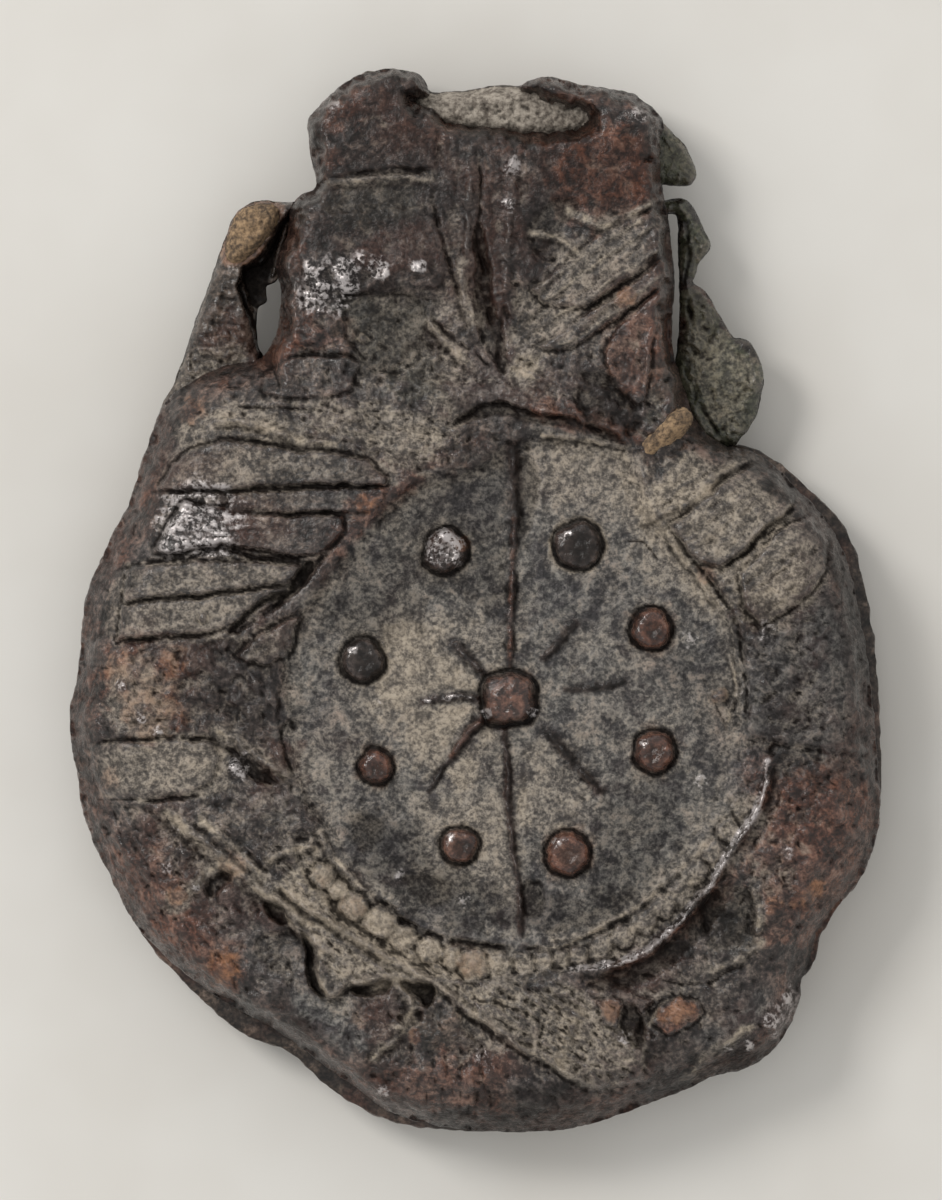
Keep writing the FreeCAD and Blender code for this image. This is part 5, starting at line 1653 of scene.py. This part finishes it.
    def base(self, net: Net, deep: np.ndarray) -> np.ndarray:
        """The plain form: a low dome with a turned-down edge, and the flattened tube of the neck.

        Args:
            net: the net.
            deep: how far inside the outline each point is, in pixels.

        Returns:
            The heights.
        """
        wavy = deep + 3.0 * cloud(net.u, net.v, 46, 47, 3) + 4.5 * cloud(net.u, net.v, 17, 49, 3)
        dome_deep = net.depth_everywhere(curve(DOME_PX, True, 10.0))
        reach = np.hypot(net.u - DOME_MIDDLE_PX[0], net.v - DOME_MIDDLE_PX[1]) + np.clip(dome_deep, 0, None)
        dome_deep = dome_deep + 3.0 * cloud(net.u, net.v, 46, 48, 3)
        dome_deep = dome_deep * LEAST_REACH_PX / np.maximum(reach, LEAST_REACH_PX)
        knots, shares = np.array(self.edge_knots).T
        edge = np.interp(wavy / PX_PER_MM, knots, shares)
        knots, shares = np.array(self.dome_knots).T
        dome = self.rim + (self.crown - self.rim) * np.interp(dome_deep / PX_PER_MM, knots, shares)
        dome = blur(dome, 5.0 / net.step)
        top = np.interp(net.v, [40, 470], [6.25, 7.75])
        side = np.clip(np.minimum(np.minimum(wavy, net.u - 270), 684 - net.u) / PX_PER_MM / 0.85, 0, 1)
        neck = self.rim + (top - self.rim) * np.sqrt(1 - (1 - side) ** 2.2)
        neck = np.where(net.v < 520, neck - np.clip(net.v - 430, 0, 90) * 0.03, 0)
        low = SEAM_MM + 1.1
        return low + (np.maximum(dome, neck) - low) * edge

    def build(self) -> bpy.types.Object:
        """Carves the face and returns its object."""
        net = Net((62, 60, 890, 1140), self.step, 5)
        outline = np.array(front_outline(), float)
        deep = net.depth_everywhere(curve(outline, True, 6.0))
        deep = deep - 0.8 + 1.1 * cloud(net.u, net.v, 15, 41, 3)
        face = Relief(net, self.base(net, deep))
        self.lower_the_rim(face)
        self.sink_the_field(face)
        for rise, bevel, crease, corners in self.plates:
            face.plate(corners, rise, bevel, crease)
        for width, rise, shine, line in self.ribs:
            face.rib(line, width, rise, max(shine, 0.0))
        for width, depth, line in self.grooves:
            face.groove(line, width, depth, 0.8)
        for u, v, radius, rise in self.lumps:
            face.swell((u, v), radius, rise)
        for angle, depth, size, corners in self.scores:
            face.score(corners, angle, depth, size)
        face.weather(self.roughness(face) * (0.4 + 0.6 * smooth_step(deep / 16 - 0.2)), 300)
        for depth, bevel, dark_patina_and_shade, corners in self.pits:
            face.plate(corners, -depth, bevel, 0.0, True)
            # Painted shade in the pit
            face.wash(Stain.DARK_PATINA_AND_SHADE, corners, dark_patina_and_shade, 5, 3)
        self.set_the_ornament(face)
        self.stain(face, deep)
        np.clip(face.height, SEAM_MM + 0.25, CEILING_MM, out=face.height)
        return SheetSolid(net, deep, 0.06).mesh("front_casting", face, level=SEAM_MM + 0.01)

    def stain(self, face: Relief, deep: np.ndarray) -> None:
        """Lays the stains: broad clouds of each, the drawn ones, age, the rim's and the crests', and the
        painted shade and glints beside the ribs and on the rim.

        Args:
            face: the relief.
            deep: how far inside the outline each point is, in pixels.
        """
        net = face.net
        # Clouds: the stain, its level, how much it varies, over how many pixels, seed and octaves
        for kind, level, change, size, seed, octaves in (
            (Stain.CRUST, 0.12, 0.24, 110, 61, 4),
            (Stain.CRUST, 0.0, 0.26, 30, 64, 3),
            (Stain.SLATE, 0.26, 0.28, 130, 62, 4),
            (Stain.RUST, 0.06, 0.28, 130, 63, 4),
        ):
            face.mark(kind, EVERYWHERE, level + change * cloud(net.u, net.v, size, seed, octaves))
        for kind, rows in self.washes:
            for strength, soft, corners in rows:
                face.wash(kind, corners, strength, soft, soft * self.raggedness)
        for kind, rows in self.dabs:
            for u, v, radius, strength in rows:
                face.dab(kind, (u, v), radius, strength)
        face.age()
        rim = smooth_step(1.5 - deep / 24)
        face.stains[Stain.CRUST] *= 1 - 0.75 * rim
        face.stains[Stain.SLATE] *= 1 - 0.55 * rim
        # Painted shade on the rim, stronger towards the right, away from the window
        right = smooth_step(net.u / 300 - 0.6)
        face.mark(Stain.DARK_PATINA_AND_SHADE, EVERYWHERE, 0.25 * smooth_step(1.4 - deep / 20) * right)
        # Painted shade under the ribs; the brightest ridges get a painted shadow at their lower right and a
        # painted glint at their upper left
        for width, _, shine, line in self.ribs:
            if shine <= 0:
                beside = [(u - width * 0.5, v + width * 0.85) for u, v in line]
                face.streak(Stain.DARK_PATINA_AND_SHADE, beside, width * 0.35, 0.8)
                face.streak(Stain.DARK_PATINA_AND_SHADE, line, width * 0.5, -0.9)
                face.streak(Stain.CRUST, line, width * 0.65, 1.0)
                face.streak(Stain.SLATE, line, width * 0.5, -0.7)
            if shine > 0.8:
                beside = [(u + width * 0.9, v + width * 0.9) for u, v in line]
                face.streak(Stain.DARK_PATINA_AND_SHADE, beside, width * 0.7, 0.9)
                face.streak(Stain.DARK_PATINA_AND_SHADE, line, width * 0.5, -0.9)
                face.streak(Stain.BARE_METAL_AND_GLINT, [(u - 1.5, v - 1.5) for u, v in line], width * 0.5, 1.0)
        face.streak(Stain.CRUST, px("306,112 310,130 306,158 300,180"), 5, 0.9)
        self.finish_the_ornament(face)
        # Painted shade on the steep slopes near the rim
        gv, gu = np.gradient(blur(face.height, 1.5), net.step / PX_PER_MM)
        steep = smooth_step(np.hypot(gu, gv) / 1.6 - 0.35)
        face.mark(Stain.DARK_PATINA_AND_SHADE, EVERYWHERE, 0.25 * steep * smooth_step(1.3 - deep / 30))
        face.mark(Stain.RUST, EVERYWHERE, rim * (0.25 + 0.5 * cloud(net.u, net.v, 60, 66, 3)))
        # On the side wall, which the camera hardly sees, the stains are evened out
        side = smooth_step(1.6 - deep / 9)
        for kind, held in face.stains.items():
            face.stains[kind] = held + side * (blur(held, 9 / net.step) - held)

    def lower_the_rim(self, face: Relief) -> None:
        """The pale upper layer stops short of the rim at the lower left, the foot and the right.

        Args:
            face: the relief.
        """
        face.plate(
            px("60,802 120,803 170,812 213,851 254,884 300,927 318,950 320,974 330,994 353,984 392,978"
                " 424,982 453,1000 484,1024 516,1046 552,1066 590,1088 640,1078 644,1050 636,1030 650,1000"
                " 600,975 645,954 682,922 712,888 734,846 754,820 768,790 771,740 900,760 900,1160"
                " 60,1160"),
            -0.34, 9, 0.0,
        )

    def sink_the_field(self, face: Relief) -> None:
        """The roundel's field lies lower than the bars at its left, and the ring of beads than both.

        Args:
            face: the relief.
        """
        face.plate(
            px("300,614 324,584 349,553 383,513 418,484 473,470 500,452 542,437 590,440 624,448 636,480"
                " 652,520 686,556 717,590 731,626 742,664 744,700 740,740 728,790 700,846 660,886 620,914"
                " 580,932 530,943 480,941 428,928 395,910 366,888 342,862 322,830 302,800 288,760 285,715"
                " 283,661"),
            -self.field_sink, 19, 0.0, True,
        )
        face.plate(
            px("296,836 312,830 322,832 342,862 366,888 395,910 428,928 480,941 530,943 580,932 620,914"
                " 660,886 700,846 728,790 742,742 770,742 768,768 760,800 740,834 716,876 684,916 648,948"
                " 600,968 540,974 480,980 430,972 390,950 350,926 318,896 300,868"),
            -0.30, 12, 0.0, True,
        )

    def set_the_ornament(self, face: Relief) -> None:
        """The wheel: spokes with painted shadows, pellets, boss and beads.

        Args:
            face: the relief.
        """
        for width, rise, dark, worn, line in self.spokes:
            # A groove round each spoke, with painted shade in it
            face.groove(line, width * 1.6 + 4.0, 0.07, 0.25)
            face.rib(line, width, rise, 0.5)
            # Painted shadow along each spoke's lower right side
            beside = [(u + width * 0.45, v + width * 0.3) for u, v in line]
            face.streak(Stain.DARK_PATINA_AND_SHADE, beside, width * 0.45, dark)
            face.streak(worn, line, width * 0.5, 0.7)
            face.wipe(line, width * 0.9)
        for u, v, radius, rise in self.pellets:
            face.knob((u, v), radius, rise, 0.12, dish=0.20)
        face.knob((509, 698), 26.5, 0.98, 0.16, turn=8, square=3.0, dish=0.05)
        for u, v, half, turn, rise in self.beads:
            clear = 1.1 if u < self.grey_bead_px else 0.75
            face.knob((u, v), half * 0.92, rise * clear, 0.055 * clear, 0.9, turn + 8, 3.6, worn=0.1)

    def finish_the_ornament(self, face: Relief) -> None:
        """Wear and dirt on the wheel: bright crowns on the pellets, crust on the beads, painted shade at
        the lower right of the pellets and the boss, and painted glints on them.

        Args:
            face: the relief.
        """
        for u, v, radius, _ in self.pellets:
            face.dab(Stain.SHINE, (u, v), radius * 0.85, 0.95)
            # Painted shade at each pellet's lower right, a painted glint at its upper left and a painted
            # shadow round its right and lower edge
            face.dab(Stain.DARK_PATINA_AND_SHADE, (u + radius * 0.12, v + radius * 0.15), radius * 0.5, 0.7)
            face.dab(Stain.BARE_METAL_AND_GLINT, (u - radius * 0.5, v - radius * 0.45), radius * 0.2, 0.8)
            face.streak(Stain.DARK_PATINA_AND_SHADE, self.arc((u, v), radius + 1.0, -40, 150), 2.2, 0.9)
        face.dab(Stain.SHINE, (509, 698), 27, 0.95)
        # Painted glints on the boss and a painted shadow along its lower edge
        face.dab(Stain.BARE_METAL_AND_GLINT, (533, 712), 5, 0.9)
        face.dab(Stain.BARE_METAL_AND_GLINT, (486, 712), 5, 0.7)
        face.streak(Stain.DARK_PATINA_AND_SHADE, self.arc((509, 700), 25, 30, 150), 4.0, 0.9)
        face.streak(Stain.CRUST, self.arc((578, 545), 28, 0, 359), 3.0, 0.9)
        # The second pellet darker all over, and painted shade at the last pellet's lower right
        face.dab(Stain.DARK_PATINA_AND_SHADE, (578, 545), 18, 0.7)
        face.dab(Stain.DARK_PATINA_AND_SHADE, (363, 660), 15, 0.4)
        face.dab(Stain.DARK_PATINA_AND_SHADE, (371, 673), 11, 0.8)
        row = [(u, v) for u, v, *_ in self.beads]
        face.streak(Stain.CRUST, row[:9], 15, 0.8)
        face.streak(Stain.CRUST, row[8:], 12, 0.4)
        for u, v, half, _, _ in self.beads:
            face.dab(Stain.DARK_PATINA_AND_SHADE, (u, v), half * 0.9, 0.0)
            face.dab(Stain.CRUST, (u, v), half * 0.95, 0.95 if u < self.grey_bead_px else 0.4)

    @staticmethod
    def arc(centre: Point, radius: float, start: float, end: float) -> list[Point]:
        """Points along part of a circle.

        Args:
            centre: its centre, in pixels.
            radius: its radius, in pixels.
            start: where the part starts, in degrees clockwise from the right.
            end: where it ends.

        Returns:
            The points.
        """
        turns = np.radians(np.linspace(start, end, 15))
        return [(centre[0] + radius * math.cos(t), centre[1] + radius * math.sin(t)) for t in turns]

    def roughness(self, face: Relief) -> np.ndarray:
        """How badly each place is eaten: the bars and the field least, the rims most.

        Args:
            face: the relief.

        Returns:
            The shares, from 0 to 1.
        """
        net = face.net
        rough = np.full(net.u.shape, 0.8)
        calm = [
            (0.60, px("290,640 349,553 418,484 500,452 624,448 717,590 744,700 700,846 580,932 428,928"
                " 322,830")),
            (0.75, px("120,640 150,560 180,450 300,440 390,470 380,520 300,600 220,640")),
            (0.75, px("90,740 220,738 216,796 94,800")),
            (0.55, px("680,480 760,455 830,530 820,600 740,610")),
            (0.62, px("300,90 420,70 440,130 520,134 650,120 664,200 540,230 450,290 310,290")),
            (0.45, px("524,230 664,200 664,300 560,360")),
        ]
        for much, corners in calm:
            line = curve(corners, True, 10.0)
            part, deep = net.depth_in(line, 30)
            rough[part] *= 1 - much * smooth_step(deep / 16 + 0.5)
        return rough


@dataclass
class BackCasting:
    """The plain half that the flask rests on, wider than the front half at the right and the foot."""

    step: float = 2.2
    band_px: float = 60.0
    side_knots: tuple = ((0.0, 1.7), (0.25, 1.25), (1.0, 0.78), (2.0, 0.42), (3.4, 0.12), (4.9, 0.0))

    def build(self) -> bpy.types.Object:
        """Carves both faces and returns the object."""
        net = Net((62, 60, 890, 1140), self.step, 15)
        deep = net.depth_everywhere(curve(WHOLE_PX, True, 6.0))
        deep = deep - 0.5 + 0.7 * cloud(net.u, net.v, 13, 43, 3)
        inner = np.clip(deep / PX_PER_MM, 0, None)
        top = SEAM_MM - 0.02 - 0.34 * np.exp(-inner / 0.32)
        upper = Relief(net, top + 0.03 * cloud(net.u, net.v, 20, 44, 3) * (inner < 1.6) - 0.02)
        np.clip(upper.height, 0, SEAM_MM - 0.002, out=upper.height)
        floor = np.interp(inner, *np.array(self.side_knots).T)
        neck = np.interp(net.v, [40, 470], [1.35, 0.85]) + 0.8 * np.exp(-inner / 0.5)
        blend = smooth_step((net.v - 300) / 150)
        under = Relief(net, neck * (1 - blend) + floor * blend)
        self.carve(under)
        return SheetSolid(net, deep, 0.08).mesh("back_casting", upper, under, band=self.band_px)

    def carve(self, under: Relief) -> None:
        """Wear on the back: swells, pits, a bruise and long scratches, none of them below rest, with
        painted shade in its grooves and hollows.

        Args:
            under: the relief of its under face.
        """
        net = under.net
        sign = Relief(net, np.zeros_like(under.height))
        sign.weather(np.full(net.u.shape, 0.65), 700)
        sign.groove(px("250,560 330,640 420,700 520,730"), 5, 0.10)
        sign.groove(px("600,520 640,640 650,760"), 4, 0.08)
        sign.groove(px("380,180 470,200 560,190"), 5, 0.12)
        sign.groove(px("360,330 470,345 600,330"), 6, 0.14)
        sign.plate(px("430,820 520,800 580,860 540,930 450,920"), -0.10, 26, 0, True)
        under.height = np.maximum(under.height - sign.height, 0.0)
        under.stains = sign.stains
        flipped = Relief(net, -under.height)
        flipped.stains = under.stains
        # Painted shade in the back's hollows, found on its face turned upright
        flipped.age()
        under.wash(Stain.CRUST, px("220,560 520,480 740,640 700,900 460,1000 240,860"), 0.55, 60, 40)
        under.wash(Stain.RUST, px("560,900 760,820 820,940 640,1080"), 0.6, 40, 30)
        under.wash(Stain.SLATE, px("320,140 640,130 650,330 330,340"), 0.5, 40, 30)


@dataclass
class LeftHandle:
    """The whole strap at the left of the neck: two layers with a step, over a pocket darkened with painted
    shade.
    """

    step: float = 1.2
    outer: tuple = px("304,202 283,202 263,200 250,203 238,210 230,222 225,238 215,265 205,295 195,320"
        " 185,352 175,380 161,411 190,422 240,420 268,404 280,380 268,362 262,356 257,345 255,325 257,308"
        " 266,300 265,286 276,279 282,262 290,244 296,226")
    layer: tuple = px("294,205 283,225 272,246 262,262 245,268 238,290 246,310 255,330 258,350 262,380"
        " 250,440 150,440 150,400 190,300 215,190 280,190")

    pocket: tuple = px("284,219 282,234 274,251 271,276 267,294 265,306 253,306 246,288 243,276 244,266"
        " 256,258 270,240")
    head: tuple = px("222,262 226,232 238,208 256,200 282,202 284,218 268,242 252,262")

    def build(self) -> bpy.types.Object:
        """Carves both faces and returns the object."""
        net = Net((150, 190, 316, 432), self.step, 25)
        deep = net.depth_everywhere(curve(self.outer, True, 3.0))
        deep = deep + 0.5 * cloud(net.u, net.v, 9, 51, 3)
        inner = np.clip(deep / PX_PER_MM, 0, None)
        round_off = np.sqrt(1 - (1 - np.clip(inner / 0.75, 0, 1)) ** 2)
        crown = 4.35 - 0.25 * smooth_step((net.v - 330) / 80)
        upper = Relief(net, 3.25 + (crown - 3.25) * round_off - 1.05)
        upper.plate(self.layer, 1.05, 5, 0.0)
        upper.plate(self.pocket, -0.6, 6, 0.0, True)
        upper.rib(px("205,341 222,342"), 4, 0.12, 0.4)
        upper.score(px("190,300 240,290 262,350 262,420 160,412"), 8, 0.07)
        upper.groove(px("203,386 222,388 242,387"), 3, 0.18)
        upper.groove(px("192,350 190,368 192,386"), 3, 0.14)
        upper.weather(np.full(net.u.shape, 0.75), 800)
        upper.wash(Stain.CRUST, px("160,412 190,350 250,350 262,420"), 0.55, 12, 12)
        upper.wash(Stain.RUST, px("228,215 262,205 262,250 236,264 220,258"), 0.5, 8, 8)
        upper.wash(Stain.CRUST, self.head, 0.8, 8, 6)
        upper.wash(Stain.OCHRE, self.head, 0.55, 8, 6)
        # Near-black painted shade in the pocket
        upper.wash(Stain.DARK_PATINA_AND_SHADE, self.pocket, 0.97, 5, 2)
        upper.age()
        under = Relief(net, 3.1 - 0.95 * round_off)
        under.weather(np.full(net.u.shape, 0.4), 810)
        np.clip(upper.height, 2.9, None, out=upper.height)
        np.clip(under.height, 1.9, 2.86, out=under.height)
        return SheetSolid(net, deep, 0.05).mesh("strap_handle", upper, under)


@dataclass
class BrokenHandle:
    """What is left of the right handle: a stub by the mouth and a curled flap below it."""

    step: float = 1.2
    stub: tuple = px("650,116 660,120 667,125 675,134 685,145 691,156 696,167 696,177 690,184 678,185"
        " 664,183 650,182")
    flap: tuple = px("656,200 666,199 684,198 691,203 696,212 702,222 706,232 711,243 708,252 699,262"
        " 697,272 693,281 702,288 711,299 722,318 732,335 742,338 750,342 757,352 763,368 764,384 761,398"
        " 757,415 748,430 741,438 734,446 712,446 696,430 684,404 676,372 680,330 680,290 679,250 678,216"
        " 664,212")

    def build(self, name: str, line: Path, box: tuple, level: float, seed: int) -> bpy.types.Object:
        """Carves one of the two pieces.

        Args:
            name: its name.
            line: its outline.
            box: the net's left, top, right and bottom.
            level: the height of its face, in millimetres.
            seed: the draw.

        Returns:
            The object.
        """
        net = Net(box, self.step, seed)
        deep = net.depth_everywhere(curve(line, True, 3.0)) + 0.5 * cloud(net.u, net.v, 8, seed + 1, 3)
        inner = np.clip(deep / PX_PER_MM, 0, None)
        round_off = np.sqrt(1 - (1 - np.clip(inner / 0.5, 0, 1)) ** 2)
        upper = Relief(net, 3.0 + (level - 3.0) * round_off)
        upper.groove(px("700,405 712,424 724,444"), 4, 0.2)
        upper.groove(px("686,214 690,250 686,292 694,330"), 5, 0.12)
        upper.plate(px("694,300 716,322 700,352 684,340"), 0.14, 6, 0.06)
        upper.weather(np.full(net.u.shape, 0.85), seed + 2)
        upper.wash(Stain.MOSS, line, 0.75, 6, 14)
        upper.wash(Stain.CRUST, px("690,330 740,340 762,380 740,436 700,410"), 0.55, 12, 12)
        upper.age()
        under = Relief(net, 2.7 - 0.5 * round_off)
        np.clip(upper.height, 2.8, None, out=upper.height)
        return SheetSolid(net, deep, 0.04).mesh(name, upper, under)


@dataclass
class Lump:
    """A crust of soil: a low heap with a lumpy face, sunk a little into what it lies on."""

    name: str
    line: Path
    base: float
    crown: float
    seed: int
    rough: float
    step: float = 1.2

    def build(self) -> bpy.types.Object:
        """Heaps it and returns the object."""
        p = np.array(self.line, float)
        low, high = p.min(0) - 8, p.max(0) + 8
        net = Net((low[0], low[1], high[0], high[1]), self.step, self.seed)
        deep = net.depth_everywhere(curve(self.line, True, 3.0))
        deep = deep + 0.8 * cloud(net.u, net.v, 8, self.seed + 1, 3)
        inner = np.clip(deep / PX_PER_MM, 0, None)
        heap = np.sqrt(1 - (1 - np.clip(inner / 0.7, 0, 1)) ** 2)
        lumpy = 0.9 + 0.1 * cloud(net.wu, net.wv, 14, self.seed + 2, 3)
        top = self.base + (self.crown - self.base) * heap * lumpy
        upper = Relief(net, top)
        upper.weather(np.full(net.u.shape, self.rough), self.seed + 3)
        upper.age()
        np.clip(upper.height, self.base + 0.02, CEILING_MM, out=upper.height)
        return SheetSolid(net, deep, 0.02, 2).mesh(self.name, upper, level=self.base)


def dress(made: bpy.types.Object, material: bpy.types.Material, slot: str, *nodes: str) -> None:
    """Gives a piece its material and its body, and hides the CAD nodes that it stands for.

    Args:
        made: the piece.
        material: its material.
        slot: its slot; not used.
        nodes: the nodes.
    """
    made.data.materials.append(material)
    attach(made, "root")
    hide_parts(*nodes)
    log.info("%s: %d points, stands for %s", made.name, len(made.data.vertices), ", ".join(nodes))


@dataclass
class Studio:
    """The board, the lamps and the camera."""

    distance: float = 0.8
    frame_px: tuple = (942.0, 1200.0)
    sharp_plane: float = 0.005
    board_half: float = 1.2

    def lay_the_board(self) -> None:
        """A wide board under the flask."""
        half = self.board_half
        corners = [(-half, -half, 0), (half, -half, 0), (half, half, 0), (-half, half, 0)]
        mesh = bpy.data.meshes.new("board")
        mesh.from_pydata(corners, [], [(0, 1, 2, 3)])
        board = bpy.data.objects.new("board", mesh)
        board.data.materials.append(PaleTop().made())
        bpy.context.scene.collection.objects.link(board)

    def lamp(self, name: str, place: tuple, size: float, watts: float, tint: str) -> None:
        """A soft square lamp that faces the flask.

        Args:
            name: its name.
            place: where it hangs, in metres.
            size: its side, in metres.
            watts: its power.
            tint: its colour.
        """
        data = bpy.data.lights.new(name, "AREA")
        data.size = size
        data.energy = watts
        data.color = linear(tint)[:3]
        made = bpy.data.objects.new(name, data)
        made.location = place
        made.rotation_euler = (-Vector(place)).to_track_quat("-Z", "Y").to_euler()
        bpy.context.scene.collection.objects.link(made)

    def light(self) -> None:
        """A window to the upper left, a weaker glow from beyond the mouth and a pale room."""
        self.lamp("window", (-0.30, 0.22, 0.44), 0.165, 1.26, "#fffcf8")
        self.lamp("glow", (-0.20, 0.50, 0.28), 0.4, 0.4, "#fbfcff")
        world = bpy.data.worlds.new("room")
        world.use_nodes = True
        back = world.node_tree.nodes["Background"]
        back.inputs[0].default_value = linear("#e6e5e3")
        back.inputs[1].default_value = 0.86
        bpy.context.scene.world = world

    def aim(self) -> None:
        """The camera looks straight down, with its lens set so that the frame is the photograph's."""
        data = bpy.data.cameras.new("camera")
        data.sensor_width = 36.0
        tall = self.frame_px[1] * MM_PER_PX[1] * MM
        data.lens = data.sensor_width * (self.distance - self.sharp_plane) / tall
        data.clip_end = 10
        camera = bpy.data.objects.new("camera", data)
        x = (self.frame_px[0] / 2 - MIDDLE_PX[0]) * MM_PER_PX[0] * MM
        y = (MIDDLE_PX[1] - self.frame_px[1] / 2) * MM_PER_PX[1] * MM
        camera.location = (x, y, self.distance)
        bpy.context.scene.collection.objects.link(camera)
        bpy.context.scene.camera = camera


def main() -> None:
    """Builds the flask piece by piece, then the studio."""
    lead = CorrodedLead().made()
    dull = CorrodedLead(name="cast_lead_dull", umber="#3c322b", gloss=0.46).made()
    handle = CorrodedLead(name="cast_lead_handle", umber="#463c34").made()
    broken = CorrodedLead(name="cast_lead_broken", umber="#3b3830", crust="#7f7868", moss="#4a4d3c").made()
    soil = PackedSoil().made()
    ochre = PackedSoil(name="soil_iron_stained", dark="#4c4036", pale="#a68b6c", spot="#5f4330").made()
    dress(FrontCasting().build(), lead, "front_lead", "front_wall")
    dress(BackCasting().build(), dull, "back_lead", "back_wall")
    dress(LeftHandle().build(), handle, "handle_lead", "left_handle")
    right = BrokenHandle()
    stub = right.build("handle_stub", right.stub, (642, 106, 706, 194), 3.6, 61)
    dress(stub, broken, "broken_lead", "right_handle_stub")
    flap = right.build("handle_flap", right.flap, (648, 190, 774, 456), 3.6, 71)
    dress(flap, broken, "broken_lead", "right_handle_flap")
    mouth = Lump(
        "mouth_plug",
        px("410,86 420,80 430,92 448,91 466,90 482,87 498,85 518,86 532,80 548,79 566,84 582,88 596,96"
            " 600,112 590,134 540,138 480,134 440,126 412,110"),
        3.1, 5.0, 91, 0.25,
    ).build()
    dress(mouth, soil, "grey_soil", "mouth_soil")
    crust = Lump(
        "handle_crust",
        px("229,232 236,215 248,206 262,203 276,206 279,218 268,238 254,254 240,264 228,262 225,248"),
        4.0, 5.0, 101, 0.6,
    ).build()
    dress(crust, ochre, "ochre_soil", "handle_soil")
    shoulder = Lump(
        "shoulder_crust",
        px("636,452 640,438 654,424 668,412 684,408 692,416 688,430 674,444 660,456 646,462"),
        6.6, 8.1, 111, 0.8,
    ).build()
    dress(shoulder, ochre, "ochre_soil", "shoulder_soil")
    studio = Studio()
    studio.lay_the_board()
    studio.light()
    studio.aim()
    bpy.context.scene.view_settings.view_transform = "Standard"


if __name__ == "__main__":
    main()
